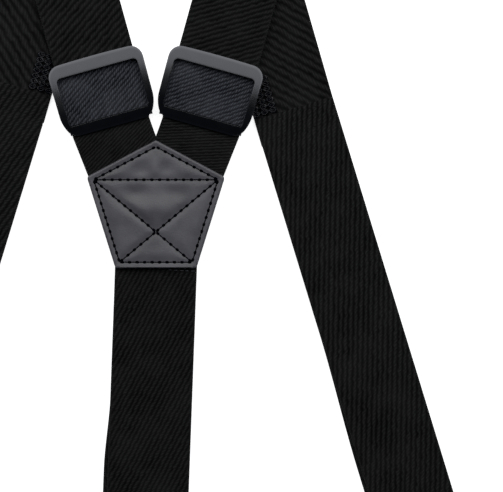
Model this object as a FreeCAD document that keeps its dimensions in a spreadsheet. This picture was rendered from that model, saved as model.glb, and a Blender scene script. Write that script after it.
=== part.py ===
import FreeCAD, Part
import math
import os
import Sketcher

# Y-back suspenders laid flat with the back facing up: +X right, +Y towards the shoulders, +Z up.
# The origin is the middle of the leather patch, on the surface that the suspenders lie on.
# Every size is in millimetres or degrees.
SIZES = (
    ("strap_width", 35.0, "width of every strap"),
    ("strap_thickness", 1.3, "thickness of one ply of webbing"),
    ("lying_gap", 1.0, "height of the back straps over the doubled front straps"),
    ("patch_height", 54.6, "leather patch, bottom edge to point"),
    ("patch_roof", 15.7, "height of the patch's point over its shoulders"),
    ("patch_flare", 12.0, "patch shoulder outside a strap's edge, each side"),
    ("patch_overhang", 0.2, "strap edge outside the patch's foot, each side"),
    ("patch_corner", 1.5, "radius of the patch's corners"),
    ("leather_thickness", 1.4, "front leather"),
    ("backing_thickness", 1.0, "backing leather"),
    ("stitch_margin", 2.5, "stitch line inside the leather's edge"),
    ("stitch_pitch", 3.3, "one stitch to the next"),
    ("thread_width", 0.6, "sewing thread"),
    ("arm_inset", 0.3, "the arms' edges inside the patch's edges"),
    ("tuck", 2.0, "strap ends and rows of stitches, inside the edge that covers them"),
    ("slide_height", 47.9, "slides' centres over the origin"),
    ("slide_angle", 15.5, "lean of the slides and back straps"),
    ("slide_gap", 1.4, "gap between the two slides"),
    ("slide_side_room", 0.65, "strap edge to the slide's side bar"),
    ("side_bar", 3.0, "width of a slide's side bars"),
    ("top_bar", 6.2, "width of a slide's top bar"),
    ("bottom_bar", 4.1, "width of a slide's bottom bar"),
    ("slide_length", 31.2, "slide, top to bottom"),
    ("slide_taper", 6.0, "slide's sides draw in from this far below its centre"),
    ("slide_foot", 3.6, "how far they draw in at the bottom"),
    ("slide_corner", 4.0, "radius of the slide's top corners"),
    ("slide_thickness", 2.0, "thickness of the slide's flat bars"),
    ("slide_bevel", 0.5, "bevel round the slide's face"),
    ("window_corner", 1.2, "radius of the window's corners"),
    ("side_drop", 0.2, "underside of the side bars over the strap, beyond its slip"),
    ("centre_bar", 1.5, "diameter of the slide's centre bar"),
    ("cover_thickness", 1.0, "webbing over the centre bar, pulled thin"),
    ("cover_narrowing", 0.4, "how much narrower it is drawn"),
    ("cover_ramp", 0.5, "from the window's end to the foot of the cover's ramp"),
    ("cover_crest", 1.5, "half the flat crest over the centre bar"),
    ("right_fold", 108.2, "height of the right shoulder fold over the origin"),
    ("left_fold", 118.3, "height of the left shoulder fold over the origin"),
    ("fold_angle", 16.0, "lean of the front straps above the seam"),
    ("front_angle", 17.0, "lean of the front straps below the seam"),
    ("seam_distance", 70.0, "shoulder fold to seam, down the strap"),
    ("seam_lap", 12.0, "overlap sewn together at the seam"),
    ("rung_length", 10.5, "overlocked edge, across the strap"),
    ("rung_pitch", 3.0, "one rung of the overlocked edge to the next"),
    ("rung_start", 1.5, "seam to the first rung"),
    ("rung_height", 0.4, "height of a rung over the strap"),
    ("front_length", 570.0, "seam to the front clip's loop"),
    ("rear_length", 165.0, "patch to the rear clip's loop"),
    ("rear_angle", 2.1, "lean of the rear strap"),
    ("rear_step_start", 1.0, "patch's bottom edge to where the rear strap steps down"),
    ("rear_step_end", 12.0, "patch's bottom edge to where it lies flat"),
    ("wire", 2.4, "diameter of a clip's wire bail"),
    ("eye_room", 0.4, "room round the wire in a strap's eye"),
    ("bail_length", 10.0, "bail, centre of one bar to centre of the other"),
    ("bail_straight", 1.0, "straight part of the bail's sides past the eye"),
    ("clip_width", 26.0, "clip across its ears"),
    ("clip_length", 40.0, "clip, bail to jaws"),
    ("plate", 1.0, "steel of a clip's back plate and ears"),
    ("thin_plate", 0.8, "steel of a clip's lever and jaw plate"),
    ("clip_corner", 3.0, "radius of the back plate's lower corners"),
    ("jaw_pin", 1.6, "diameter of the jaw's pin"),
    ("jaw_pin_end", 0.3, "jaw pin standing out of each ear"),
    ("jaw_pin_down", 6.0, "bail to jaw pin, down the clip"),
    ("jaw_pin_rise", 3.2, "jaw pin over the back plate's face"),
    ("jaw_room", 0.5, "side of the jaw to the ear"),
    ("pad_length", 10.5, "plastic pad, down the clip"),
    ("pad_inset", 0.5, "pad's end and sides inside the jaw's"),
    ("pad_thickness", 1.3, "plastic pad to the crests of its ridges"),
    ("pad_ridge", 0.4, "height of a pad's ridges"),
    ("rivet", 1.8, "diameter of the lever's rivets"),
    ("rivet_up", 16.0, "jaw's end to the rivets, up the clip"),
    ("rivet_rise", 4.06, "rivets over the jaw plate"),
    ("rivet_head", 0.6, "thickness of a rivet's head"),
    ("lever_room", 0.4, "side of the lever to the ear"),
    ("lever_rise", 1.24, "lever's plate over the rivets"),
    ("boss_wall", 0.7, "steel round a rivet in the lever's flange"),
    ("cam_reach", 3.25, "rivet to the centre of the cam's tip"),
    ("cam_tip", 1.2, "radius of the cam's tip"),
    ("cam_lean", 30.0, "lean of the closed cam"),
)

doc = FreeCAD.newDocument("Suspenders")
sheet = doc.addObject("Spreadsheet::Sheet", "Sizes")
for row, (alias, figure, note) in enumerate(SIZES, start=1):
    sheet.set(f"A{row}", note)
    sheet.set(f"B{row}", str(figure))
    sheet.setAlias(f"B{row}", alias)
doc.recompute()

# Clearances.
SLIP = 0.3  # between pieces of different bodies that pass over each other
PIN_ROOM = 0.1  # round a pin or wire in the piece that turns on it
SEAT_ROOM = 0.05  # round a pin in the piece that holds it
NEAR = 0.5  # edges this close to a corner count as its own

V = FreeCAD.Vector
parts = []


def number(expression):
    """The value of an expression over the sheet's sizes."""
    found = sheet.evalExpression(str(expression))
    return float(getattr(found, "Value", found))


def new_body(label):
    body = doc.addObject("PartDesign::Body", label)
    body.Label = label
    parts.append(body)
    return body


def new_sketch(body, role, lift="0"):
    """A sketch on one of the body's own planes, moved along the plane's normal by lift."""
    sketch = body.newObject("Sketcher::SketchObject", body.Label + "_sketch")
    plane = [feature for feature in body.Origin.OriginFeatures if feature.Role == role][0]
    sketch.AttachmentSupport = (plane, "")
    sketch.MapMode = "FlatFace"
    sketch.setExpression("AttachmentOffset.Base.z", str(lift))
    return sketch


def bind(sketch, kind, places, expression):
    """A driving dimension of a sketch, tied to an expression over the sheet."""
    index = sketch.addConstraint(Sketcher.Constraint(kind, *places, number(expression)))
    sketch.setExpression(f"Constraints[{index}]", str(expression))


def draw_outline(sketch, corners):
    """A closed outline of straight lines through corners, each a pair of expressions."""
    points = [V(number(x), number(y), 0) for x, y in corners]
    first = sketch.GeometryCount
    for start, end in zip(points, points[1:] + points[:1]):
        sketch.addGeometry(Part.LineSegment(start, end))
    for step, (x, y) in enumerate(corners):
        following = first + (step + 1) % len(corners)
        sketch.addConstraint(Sketcher.Constraint("Coincident", first + step, 2, following, 1))
        bind(sketch, "DistanceX", (-1, 1, first + step, 1), x)
        bind(sketch, "DistanceY", (-1, 1, first + step, 1), y)


def draw_circle(sketch, x, y, radius):
    index = sketch.addGeometry(Part.Circle(V(number(x), number(y), 0), V(0, 0, 1), number(radius)))
    bind(sketch, "DistanceX", (-1, 1, index, 3), x)
    bind(sketch, "DistanceY", (-1, 1, index, 3), y)
    bind(sketch, "Radius", (index,), radius)


def extrude(body, kind, sketch, length, both_ways=False):
    feature = body.newObject(kind, body.Label + "_feature")
    feature.Profile = sketch
    feature.setExpression("Length", str(length))
    if both_ways:
        feature.SideType = "Symmetric"
    return feature


def pad_outline(body, role, lift, corners, length, both_ways=False):
    sketch = new_sketch(body, role, lift)
    draw_outline(sketch, corners)
    return extrude(body, "PartDesign::Pad", sketch, length, both_ways)


def pad_rod(body, x, y, radius, length, lift="0"):
    """A round bar across the body, along X, centred at lift."""
    sketch = new_sketch(body, "YZ_Plane", lift)
    draw_circle(sketch, x, y, radius)
    return extrude(body, "PartDesign::Pad", sketch, length, True)


def cut_hole(body, x, y, radius, length):
    """A round hole across the body, along X."""
    sketch = new_sketch(body, "YZ_Plane")
    draw_circle(sketch, x, y, radius)
    return extrude(body, "PartDesign::Pocket", sketch, length, True)


def cut_outline(body, role, lift, corners, length, both_ways=False):
    sketch = new_sketch(body, role, lift)
    draw_outline(sketch, corners)
    feature = extrude(body, "PartDesign::Pocket", sketch, length, both_ways)
    feature.Reversed = not both_ways
    return feature


def upright_edges(shape, chosen):
    """Names of the edges along Z whose place passes the test chosen(x, y)."""
    names = []
    for index, edge in enumerate(shape.Edges, start=1):
        start, end = edge.Vertexes[0].Point, edge.Vertexes[-1].Point
        if math.hypot(end.x - start.x, end.y - start.y) < 0.001 and chosen(start.x, start.y):
            names.append(f"Edge{index}")
    return names


def round_upright_edges(body, base, radius, chosen):
    doc.recompute()
    feature = body.newObject("PartDesign::Fillet", body.Label + "_round")
    feature.Base = (base, upright_edges(base.Shape, chosen))
    feature.setExpression("Radius", radius)
    return feature


def rectangle(left, low, right, high):
    return ((left, low), (right, low), (right, high), (left, high))


def place(body, x="0", y="0", z="0", turn="0"):
    """Sets a body's place, tied to the sheet; turn is about Z."""
    body.setExpression("Placement.Base.x", str(x))
    body.setExpression("Placement.Base.y", str(y))
    body.setExpression("Placement.Base.z", str(z))
    body.Placement.Rotation.Axis = V(0, 0, 1)
    body.setExpression("Placement.Rotation.Angle", str(turn))


# Heights of the layers, from the surface that everything lies on.
half_strap = "Sizes.strap_width / 2"
ply = "Sizes.strap_thickness"
rear_level = "Sizes.backing_thickness"
back_level = "(2 * Sizes.strap_thickness + Sizes.lying_gap)"
back_top = f"({back_level} + {ply})"

# Outline of the leather patch, centred on the origin.
patch_bottom = "(-Sizes.patch_height / 2)"
patch_point = "(Sizes.patch_height / 2)"
patch_shoulder = "(Sizes.patch_height / 2 - Sizes.patch_roof)"
patch_top_half = "(Sizes.strap_width / 2 + Sizes.patch_flare)"
patch_foot_half = "(Sizes.strap_width / 2 - Sizes.patch_overhang)"


def patch_corners(inset):
    """The five corners of the patch's outline moved in by inset."""
    side_lean = f"(({patch_top_half} - {patch_foot_half}) / ({patch_shoulder} - {patch_bottom}))"
    roof_slope = f"(Sizes.patch_roof / {patch_top_half})"
    side_shift = f"({inset} * sqrt(1 + {side_lean}^2))"
    roof_shift = f"({inset} * sqrt(1 + {roof_slope}^2))"
    low = f"({patch_bottom} + {inset})"
    foot = f"({patch_foot_half} + {inset} * {side_lean} - {side_shift})"
    point = f"({patch_point} - {roof_shift})"
    side_start = f"({patch_foot_half} - {side_lean} * {patch_bottom} - {side_shift})"
    top = f"(({side_start} + {side_lean} * {point}) / (1 + {side_lean} * {roof_slope}))"
    shoulder = f"({point} - {roof_slope} * {top})"
    return ((f"-{foot}", low), (foot, low), (top, shoulder), ("0", point), (f"-{top}", shoulder))


# Leather patch: two matching pieces with the ends of all the straps between them.
LEATHERS = (
    ("patch_backing", "0", "Sizes.backing_thickness"),
    ("patch_front", back_top, "Sizes.leather_thickness"),
)
for label, level, thickness in LEATHERS:
    leather = new_body(label)
    cut_leather = pad_outline(leather, "XY_Plane", level, patch_corners("0"), thickness)
    round_upright_edges(leather, cut_leather, "Sizes.patch_corner", lambda x, y: True)


def stitch_row(start, end, pitch, length, width, thickness):
    """Separate stitches along a straight line, each a bar that lies on the line."""
    line = end - start
    count = max(2, round(line.Length / pitch))
    stitches = []
    for step in range(count):
        middle = start + line * ((step + 0.5) / count)
        bar = Part.makeBox(length, width, thickness, V(-length / 2, -width / 2, 0))
        turn = math.degrees(math.atan2(line.y, line.x))
        bar.Placement = FreeCAD.Placement(middle, FreeCAD.Rotation(V(0, 0, 1), turn))
        stitches.append(bar)
    return stitches


def add_solids(label, solids, placement=None):
    """A node made of like solids, such as a row of stitches."""
    group = doc.addObject("Part::Feature", label)
    group.Label = label
    group.Shape = Part.makeCompound(solids)
    group.Placement = placement or FreeCAD.Placement()
    parts.append(group)
    return group


# Patch stitching: round the edge, across at the shoulders, and an X below. The rows stop short
# of each other where they meet.
stitch_pitch = number("Sizes.stitch_pitch")
stitch_length = 0.7 * stitch_pitch
thread = number("Sizes.thread_width")
stitch_level = number(f"{back_top} + Sizes.leather_thickness")
seam_corners = [V(number(x), number(y), stitch_level) for x, y in patch_corners("Sizes.stitch_margin")]
foot_left, foot_right, top_right, top_point, top_left = seam_corners
crossing = foot_left + (top_right - foot_left) * (
    (foot_right.x - foot_left.x) / (foot_right.x - foot_left.x + top_right.x - top_left.x)
)
STITCH_LINES = (
    (foot_left, foot_right), (foot_right, top_right), (top_right, top_point),
    (top_point, top_left), (top_left, foot_left), (top_left, top_right),
    (foot_left, crossing), (foot_right, crossing), (top_left, crossing), (top_right, crossing),
)
patch_stitches = []
for start, end in STITCH_LINES:
    along = (end - start).normalize() * 0.5 * thread
    row = stitch_row(start + along * 2, end - along * 2, stitch_pitch, stitch_length, thread, thread / 2)
    patch_stitches.extend(row)
add_solids("patch_stitching", patch_stitches)

# Places of the slides. The two nearly touch where their sides begin to draw in.
slide_half = "(Sizes.strap_width / 2 + Sizes.slide_side_room + Sizes.side_bar)"
slide_x = (
    f"({slide_half} * cos(Sizes.slide_angle) + Sizes.slide_taper * sin(Sizes.slide_angle)"
    " + Sizes.slide_gap / 2)"
)
slide_y = "Sizes.slide_height"
# The arm bends at the slide's lower end and runs in under the patch.
bend_x = f"({slide_x} - Sizes.slide_length / 2 * sin(Sizes.slide_angle))"
bend_y = f"({slide_y} - Sizes.slide_length / 2 * cos(Sizes.slide_angle))"
arm_slope = f"({bend_x} / ({bend_y} - {patch_bottom}))"
arm_end = f"({patch_bottom} + Sizes.tuck)"
arm_end_x = f"({patch_foot_half} - Sizes.arm_inset)"
arm_shoulder_x = f"({patch_top_half} - Sizes.arm_inset - Sizes.patch_corner * (1 - cos(45)))"
arm_inner_y = f"({bend_y} - ({bend_x} - {half_strap} * cos(Sizes.slide_angle)) / {arm_slope})"


def fold_x(fold):
    """Where a back strap's centre line reaches its shoulder fold."""
    return f"({slide_x} + ({fold} - {slide_y}) * tan(Sizes.slide_angle))"


def seam_place(fold):
    """The middle of the seam where the shoulder strap meets the front strap."""
    across = f"({fold_x(fold)} + Sizes.seam_distance * sin(Sizes.fold_angle))"
    height = f"({fold} - Sizes.seam_distance * cos(Sizes.fold_angle))"
    return across, height


# Shoulder straps: one strip each, from the patch through the slide, over the fold and down to
# the seam. Behind the fold the strip lies on the ground; in front of it, one level up.
def make_shoulder_strap(label, side, fold):
    body = new_body(label)
    lean = "Sizes.slide_angle"
    middle = fold_x(fold)
    fold_half = f"({half_strap} / cos({lean}))"
    bend_dx = f"({half_strap} * cos({lean}))"
    bend_dy = f"({half_strap} * sin({lean}))"
    back = (
        (f"{side} * ({middle} - {fold_half})", fold),
        (f"{side} * ({bend_x} - {bend_dx})", f"{bend_y} + {bend_dy}"),
        ("0", arm_inner_y),
        ("0", arm_end),
        (f"{side} * {arm_end_x}", arm_end),
        (f"{side} * {arm_shoulder_x}", patch_shoulder),
        (f"{side} * ({bend_x} + {bend_dx})", f"{bend_y} - {bend_dy}"),
        (f"{side} * ({middle} + {fold_half})", fold),
    )
    pad_outline(body, "XY_Plane", back_level, back, ply)
    reach = "(Sizes.seam_distance + Sizes.seam_lap)"
    end_x = f"({middle} + {reach} * sin(Sizes.fold_angle))"
    end_y = f"({fold} - {reach} * cos(Sizes.fold_angle))"
    end_dx = f"({half_strap} * cos(Sizes.fold_angle))"
    end_dy = f"({half_strap} * sin(Sizes.fold_angle))"
    front = (
        (f"{side} * ({middle} - {fold_half})", fold),
        (f"{side} * ({end_x} - {end_dx})", f"{end_y} - {end_dy}"),
        (f"{side} * ({end_x} + {end_dx})", f"{end_y} + {end_dy}"),
        (f"{side} * ({middle} + {fold_half})", fold),
    )
    pad_outline(body, "XY_Plane", "0", front, ply)
    # The fold itself: a half round that joins the two levels.
    outer = f"({back_top} / 2)"
    sketch = new_sketch(body, "YZ_Plane", f"{side} * {middle}")
    draw_fold(sketch, fold, outer, f"({outer} - {ply})")
    extrude(body, "PartDesign::Pad", sketch, f"2 * {fold_half}", True)


def draw_fold(sketch, start, outer, inner):
    """Half a ring that opens towards -Y, centred at height outer."""
    y, up = number(start), number(outer)
    for radius in (outer, inner):
        reach = number(radius)
        arc = Part.ArcOfCircle(Part.Circle(V(y, up, 0), V(0, 0, 1), reach), -math.pi / 2, math.pi / 2)
        index = sketch.addGeometry(arc)
        bind(sketch, "DistanceX", (-1, 1, index, 3), start)
        bind(sketch, "DistanceY", (-1, 1, index, 3), outer)
        bind(sketch, "Radius", (index,), radius)
    for end, direction in ((1, -1), (2, 1)):
        line = Part.LineSegment(V(y, up + direction * number(inner), 0), V(y, up + direction * up, 0))
        index = sketch.addGeometry(line)
        sketch.addConstraint(Sketcher.Constraint("Coincident", index, 1, 1, end))
        sketch.addConstraint(Sketcher.Constraint("Coincident", index, 2, 0, end))
        sketch.addConstraint(Sketcher.Constraint("Vertical", index))


make_shoulder_strap("right_shoulder_strap", 1, "Sizes.right_fold")
make_shoulder_strap("left_shoulder_strap", -1, "Sizes.left_fold")

# Doubled straps. Each is one strip that goes round a clip's bail and comes back on itself.
# Their own frame: the strap runs along -Y, and both plies start at or near Y = 0.
wire_radius = "(Sizes.wire / 2)"
eye_inner = f"({wire_radius} + Sizes.eye_room)"
eye_outer = f"({eye_inner} + {ply})"


def add_loop(body, end):
    """The eye at a doubled strap's end, round the bail; end is how far down the strap it is."""
    pad_rod(body, f"-{end}", eye_outer, eye_outer, "Sizes.strap_width")
    cut_hole(body, f"-{end}", eye_outer, eye_inner, "Sizes.strap_width")


# Front straps: the upper ply laps over the shoulder strap, and the lower ply starts below its end.
def make_front_strap(label, side, fold):
    body = new_body(label)
    end = "Sizes.front_length"
    lower_start = f"(Sizes.seam_lap + 2 * {SLIP})"
    plies = (
        ("0", ply),
        ("0", f"2 * {ply}"),
        (f"-{end}", f"2 * {ply}"),
        (f"-{end}", "0"),
        (f"-{lower_start}", "0"),
        (f"-{lower_start}", ply),
    )
    pad_outline(body, "YZ_Plane", "0", plies, "Sizes.strap_width", True)
    add_loop(body, end)
    across, height = seam_place(fold)
    place(body, f"{side} * {across}", height, "0", f"{side} * Sizes.front_angle")


make_front_strap("right_front_strap", 1, "Sizes.right_fold")
make_front_strap("left_front_strap", -1, "Sizes.left_fold")

# Rear strap: both plies lie between the two leathers under the arms, step down past the
# backing's edge and lie flat from there on.
rear_strap = new_body("rear_strap")
rear_end = f"(Sizes.rear_length - {patch_bottom})"
step_start = f"({patch_bottom} - Sizes.rear_step_start)"
step_end = f"({patch_bottom} - Sizes.rear_step_end)"
rear_top = f"({patch_shoulder} - Sizes.tuck)"
rear_plies = (
    (rear_top, rear_level),
    (rear_top, f"{rear_level} + 2 * {ply}"),
    (step_start, f"{rear_level} + 2 * {ply}"),
    (step_end, f"2 * {ply}"),
    (f"-{rear_end}", f"2 * {ply}"),
    (f"-{rear_end}", "0"),
    (step_end, "0"),
    (step_start, rear_level),
)
pad_outline(rear_strap, "YZ_Plane", "0", rear_plies, "Sizes.strap_width", True)
add_loop(rear_strap, rear_end)
rear_shift = f"(-{patch_bottom} * tan(Sizes.rear_angle))"
place(rear_strap, rear_shift, "0", "0", "-Sizes.rear_angle")

# Seam thread: two rows across each lap, through the strap's upper face.
# Overlocked edge: rungs of thread on the shoulder strap's inner edge, just above the seam.
half_width = number(half_strap)
thickness = number(ply)
tuck = number("Sizes.tuck")
rung_length = number("Sizes.rung_length")
rung_pitch = number("Sizes.rung_pitch")
rung_start = number("Sizes.rung_start")
RUNGS = 6
for label, side, fold in (("right", 1, "Sizes.right_fold"), ("left", -1, "Sizes.left_fold")):
    across, height = seam_place(fold)
    seam = V(side * number(across), number(height), 0)
    lower_turn = FreeCAD.Rotation(V(0, 0, 1), side * number("Sizes.front_angle"))
    rows = []
    for down in (tuck, number("Sizes.seam_lap") - tuck):
        start = V(-half_width + tuck, -down, 2 * thickness)
        end = V(half_width - tuck, -down, 2 * thickness)
        rows.extend(stitch_row(start, end, stitch_pitch, stitch_length, thread, thread / 2))
    add_solids(f"{label}_seam_thread", rows, FreeCAD.Placement(seam, lower_turn))
    upper_turn = FreeCAD.Rotation(V(0, 0, 1), side * number("Sizes.fold_angle"))
    left_end = -half_width if side > 0 else half_width - rung_length
    rungs = []
    for step in range(RUNGS):
        rung = Part.makeBox(rung_length, thread, number("Sizes.rung_height"))
        rung.translate(V(left_end, rung_start + rung_pitch * step, thickness))
        rungs.append(rung)
    add_solids(f"{label}_overlocked_edge", rungs, FreeCAD.Placement(seam, upper_turn))

# Slides: a frame with a low centre bar. The flat bars lie over the strap; the sides reach lower.
bar_level = f"({back_top} + {SLIP} + Sizes.cover_thickness + {SLIP})"
side_level = f"({back_top} + {SLIP} + Sizes.side_drop)"
slide_top = f"({bar_level} + Sizes.slide_thickness)"
slide_end = "(Sizes.slide_length / 2)"
window_half = f"({slide_half} - Sizes.side_bar)"
window_top = f"({slide_end} - Sizes.top_bar)"
window_bottom = f"(Sizes.bottom_bar - {slide_end})"
centre_radius = "(Sizes.centre_bar / 2)"
centre_level = f"({side_level} + {centre_radius})"
for label, side in (("right_slide", 1), ("left_slide", -1)):
    slide = new_body(label)
    foot_half = f"({slide_half} - Sizes.slide_foot)"
    face = (
        (f"-{foot_half}", f"-{slide_end}"), (foot_half, f"-{slide_end}"),
        (slide_half, "-Sizes.slide_taper"), (slide_half, slide_end),
        (f"-{slide_half}", slide_end), (f"-{slide_half}", "-Sizes.slide_taper"),
    )
    slab = pad_outline(slide, "XY_Plane", side_level, face, f"{slide_top} - {side_level}")
    top_end = number(slide_end)
    rounded = round_upright_edges(
        slide, slab, "Sizes.slide_corner", lambda x, y: y > top_end - NEAR
    )
    shaped = round_upright_edges(
        slide, rounded, "Sizes.slide_corner / 2", lambda x, y: y < NEAR - top_end
    )
    doc.recompute()
    upper_edges = [
        f"Edge{index}" for index, edge in enumerate(shaped.Shape.Edges, start=1)
        if min(vertex.Z for vertex in edge.Vertexes) > number(slide_top) - NEAR
    ]
    bevel = slide.newObject("PartDesign::Chamfer", label + "_bevel")
    bevel.Base = (shaped, upper_edges)
    bevel.setExpression("Size", "Sizes.slide_bevel")
    window = rectangle(f"-{window_half}", window_bottom, window_half, window_top)
    cut_window = cut_outline(slide, "XY_Plane", side_level, window, f"{slide_top} - {side_level}")
    round_upright_edges(
        slide, cut_window, "Sizes.window_corner", lambda x, y: abs(x) < number(window_half) + NEAR
        and number(window_bottom) - NEAR < y < number(window_top) + NEAR
    )
    under = rectangle(f"-{window_half}", "-Sizes.slide_length", window_half, "Sizes.slide_length")
    cut_outline(slide, "XY_Plane", side_level, under, f"{bar_level} - {side_level}")
    pad_rod(slide, "0", centre_level, centre_radius, f"2 * {window_half} + Sizes.side_bar")
    place(slide, f"{side} * {slide_x}", slide_y, "0", f"-{side} * Sizes.slide_angle")

    # The ply that passes over the centre bar, its ends under the top and bottom bars.
    cover = new_body(label + "_webbing")
    low = f"({back_top} + {SLIP})"
    crest = f"({centre_level} + {centre_radius} + {PIN_ROOM})"
    thin = "Sizes.cover_thickness"
    end_in = f"({slide_end} - Sizes.bottom_bar / 4)"
    ramp_low = f"({window_bottom} + Sizes.cover_ramp)"
    ramp_high = f"({window_top} - Sizes.cover_ramp)"
    flat_half = f"(Sizes.cover_crest + {thin} / 2)"
    arch = (
        (f"-{end_in}", low), (ramp_low, low), ("-Sizes.cover_crest", crest),
        ("Sizes.cover_crest", crest), (ramp_high, low), (end_in, low),
        (end_in, f"{low} + {thin}"), (ramp_high, f"{low} + {thin}"),
        (flat_half, f"{crest} + {thin}"), (f"-{flat_half}", f"{crest} + {thin}"),
        (ramp_low, f"{low} + {thin}"), (f"-{end_in}", f"{low} + {thin}"),
    )
    pad_outline(cover, "YZ_Plane", "0", arch, "Sizes.strap_width - Sizes.cover_narrowing", True)
    place(cover, f"{side} * {slide_x}", slide_y, "0", f"-{side} * Sizes.slide_angle")

# Clips. Their own frame: the strap's eye is over the origin, the clip runs along -Y, the back
# plate lies on Z = 0 and the lever is on top.
bail_end = "Sizes.bail_length"
clip_half = "(Sizes.clip_width / 2)"
ear_inner = f"({clip_half} - Sizes.plate)"
clip_end = f"({bail_end} + Sizes.clip_length)"
roll = eye_outer
jaw_pin_y = f"({bail_end} + Sizes.jaw_pin_down)"
jaw_pin_z = "(Sizes.plate + Sizes.jaw_pin_rise)"
jaw_pin_radius = "(Sizes.jaw_pin / 2)"
knuckle = f"({jaw_pin_radius} + {PIN_ROOM} + Sizes.thin_plate)"
jaw_half = f"({ear_inner} - Sizes.jaw_room)"
jaw_low = f"({jaw_pin_z} - Sizes.thin_plate / 2)"
jaw_high = f"({jaw_pin_z} + Sizes.thin_plate / 2)"
pad_end = f"({clip_end} - Sizes.pad_inset)"
pad_start = f"({pad_end} - Sizes.pad_length)"
pad_half = f"({jaw_half} - Sizes.pad_inset)"
rivet_y = f"({clip_end} - Sizes.rivet_up)"
rivet_z = f"({jaw_high} + Sizes.rivet_rise)"
rivet_radius = "(Sizes.rivet / 2)"
lever_half = f"({ear_inner} - Sizes.lever_room)"
lever_low = f"({rivet_z} + Sizes.lever_rise)"
lever_high = f"({lever_low} + Sizes.thin_plate)"
boss = f"({rivet_radius} + Sizes.boss_wall)"


def make_bail(name):
    """Wire loop: a wide bar in the strap's eye and a narrow bar in the clip's roll. Its sides
    run straight past the eye before they draw in.
    """
    body = new_body(f"{name}_clip_bail")
    wide = f"({half_strap} + Sizes.wire)"
    narrow = f"({ear_inner} + Sizes.wire / 3)"
    straight = f"({eye_outer} + Sizes.bail_straight)"
    spine = new_sketch(body, "XY_Plane", "0")
    loop = (
        ("0", "0"), (wide, "0"), (wide, f"-{straight}"), (narrow, f"-{bail_end}"),
        (f"-{narrow}", f"-{bail_end}"), (f"-{wide}", f"-{straight}"), (f"-{wide}", "0"),
    )
    draw_outline(spine, loop)
    profile = new_sketch(body, "YZ_Plane")
    draw_circle(profile, "0", "0", wire_radius)
    pipe = body.newObject("PartDesign::AdditivePipe", body.Label + "_wire")
    pipe.Profile = profile
    pipe.Spine = (spine, [f"Edge{index}" for index in range(1, len(loop) + 1)])
    pipe.Transition = "Round corner"
    return body


def make_back_plate(name):
    """Back plate with two ears, rolled over the bail at its upper end."""
    body = new_body(f"{name}_clip_back")
    top = f"(-{bail_end} - 3.5)"
    low_step = f"({jaw_pin_z} + 1.8)"
    high_step = f"({rivet_z} + 1.6)"
    ears = (
        (top, "0"), (top, low_step), (f"-{rivet_y} + 7", low_step),
        (f"-{rivet_y} + 2.5", high_step), (f"-{rivet_y} - 2.5", high_step), (f"-{rivet_y} - 5", "0"),
    )
    pad_outline(body, "YZ_Plane", "0", ears, "Sizes.clip_width", True)
    between = rectangle(f"-{clip_end}", "Sizes.plate", f"-{bail_end}", f"2 * {rivet_z}")
    cut_outline(body, "YZ_Plane", "0", between, f"2 * {ear_inner}", True)
    floor = rectangle(f"-{clip_half}", f"-{clip_end}", clip_half, f"-{bail_end}")
    pad_outline(body, "XY_Plane", "0", floor, "Sizes.plate")
    pad_rod(body, f"-{bail_end}", roll, roll, f"2 * ({ear_inner} - Sizes.plate)")
    cut_hole(body, f"-{bail_end}", roll, f"{wire_radius} + {PIN_ROOM}", "Sizes.clip_width")
    cut_hole(body, f"-{jaw_pin_y}", jaw_pin_z, f"{jaw_pin_radius} + {SEAT_ROOM}", "Sizes.clip_width")
    holes = cut_hole(body, f"-{rivet_y}", rivet_z, f"{rivet_radius} + {SEAT_ROOM}", "Sizes.clip_width")
    lowest = number(clip_end)
    round_upright_edges(body, holes, "Sizes.clip_corner", lambda x, y: y < NEAR - lowest)
    return body


def make_jaw(name):
    """Jaw plate that hinges on the jaw pin."""
    body = new_body(f"{name}_clip_jaw")
    blade = rectangle(f"-{clip_end}", jaw_low, f"-{jaw_pin_y}", jaw_high)
    pad_outline(body, "YZ_Plane", "0", blade, f"2 * {jaw_half}", True)
    pad_rod(body, f"-{jaw_pin_y}", jaw_pin_z, knuckle, f"2 * {jaw_half}")
    cut_hole(body, f"-{jaw_pin_y}", jaw_pin_z, f"{jaw_pin_radius} + {PIN_ROOM}", "Sizes.clip_width")
    return body


def make_pad(name, label, base, way):
    """Plastic pad with ridges across; way is 1 for ridges that point up and -1 for down."""
    body = new_body(f"{name}_clip_{label}")
    ridges = 4
    face = f"({base} + {way} * (Sizes.pad_thickness - Sizes.pad_ridge))"
    crest = f"({base} + {way} * Sizes.pad_thickness)"
    pitch = f"(({pad_end} - {pad_start}) / {ridges})"
    outline = [(f"-{pad_start}", base), (f"-{pad_start}", face)]
    for ridge in range(ridges):
        outline.append((f"-{pad_start} - {ridge + 0.5} * {pitch}", crest))
        outline.append((f"-{pad_start} - {ridge + 1} * {pitch}", face))
    outline.append((f"-{pad_end}", base))
    pad_outline(body, "YZ_Plane", "0", outline, f"2 * {pad_half}", True)
    return body


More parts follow.
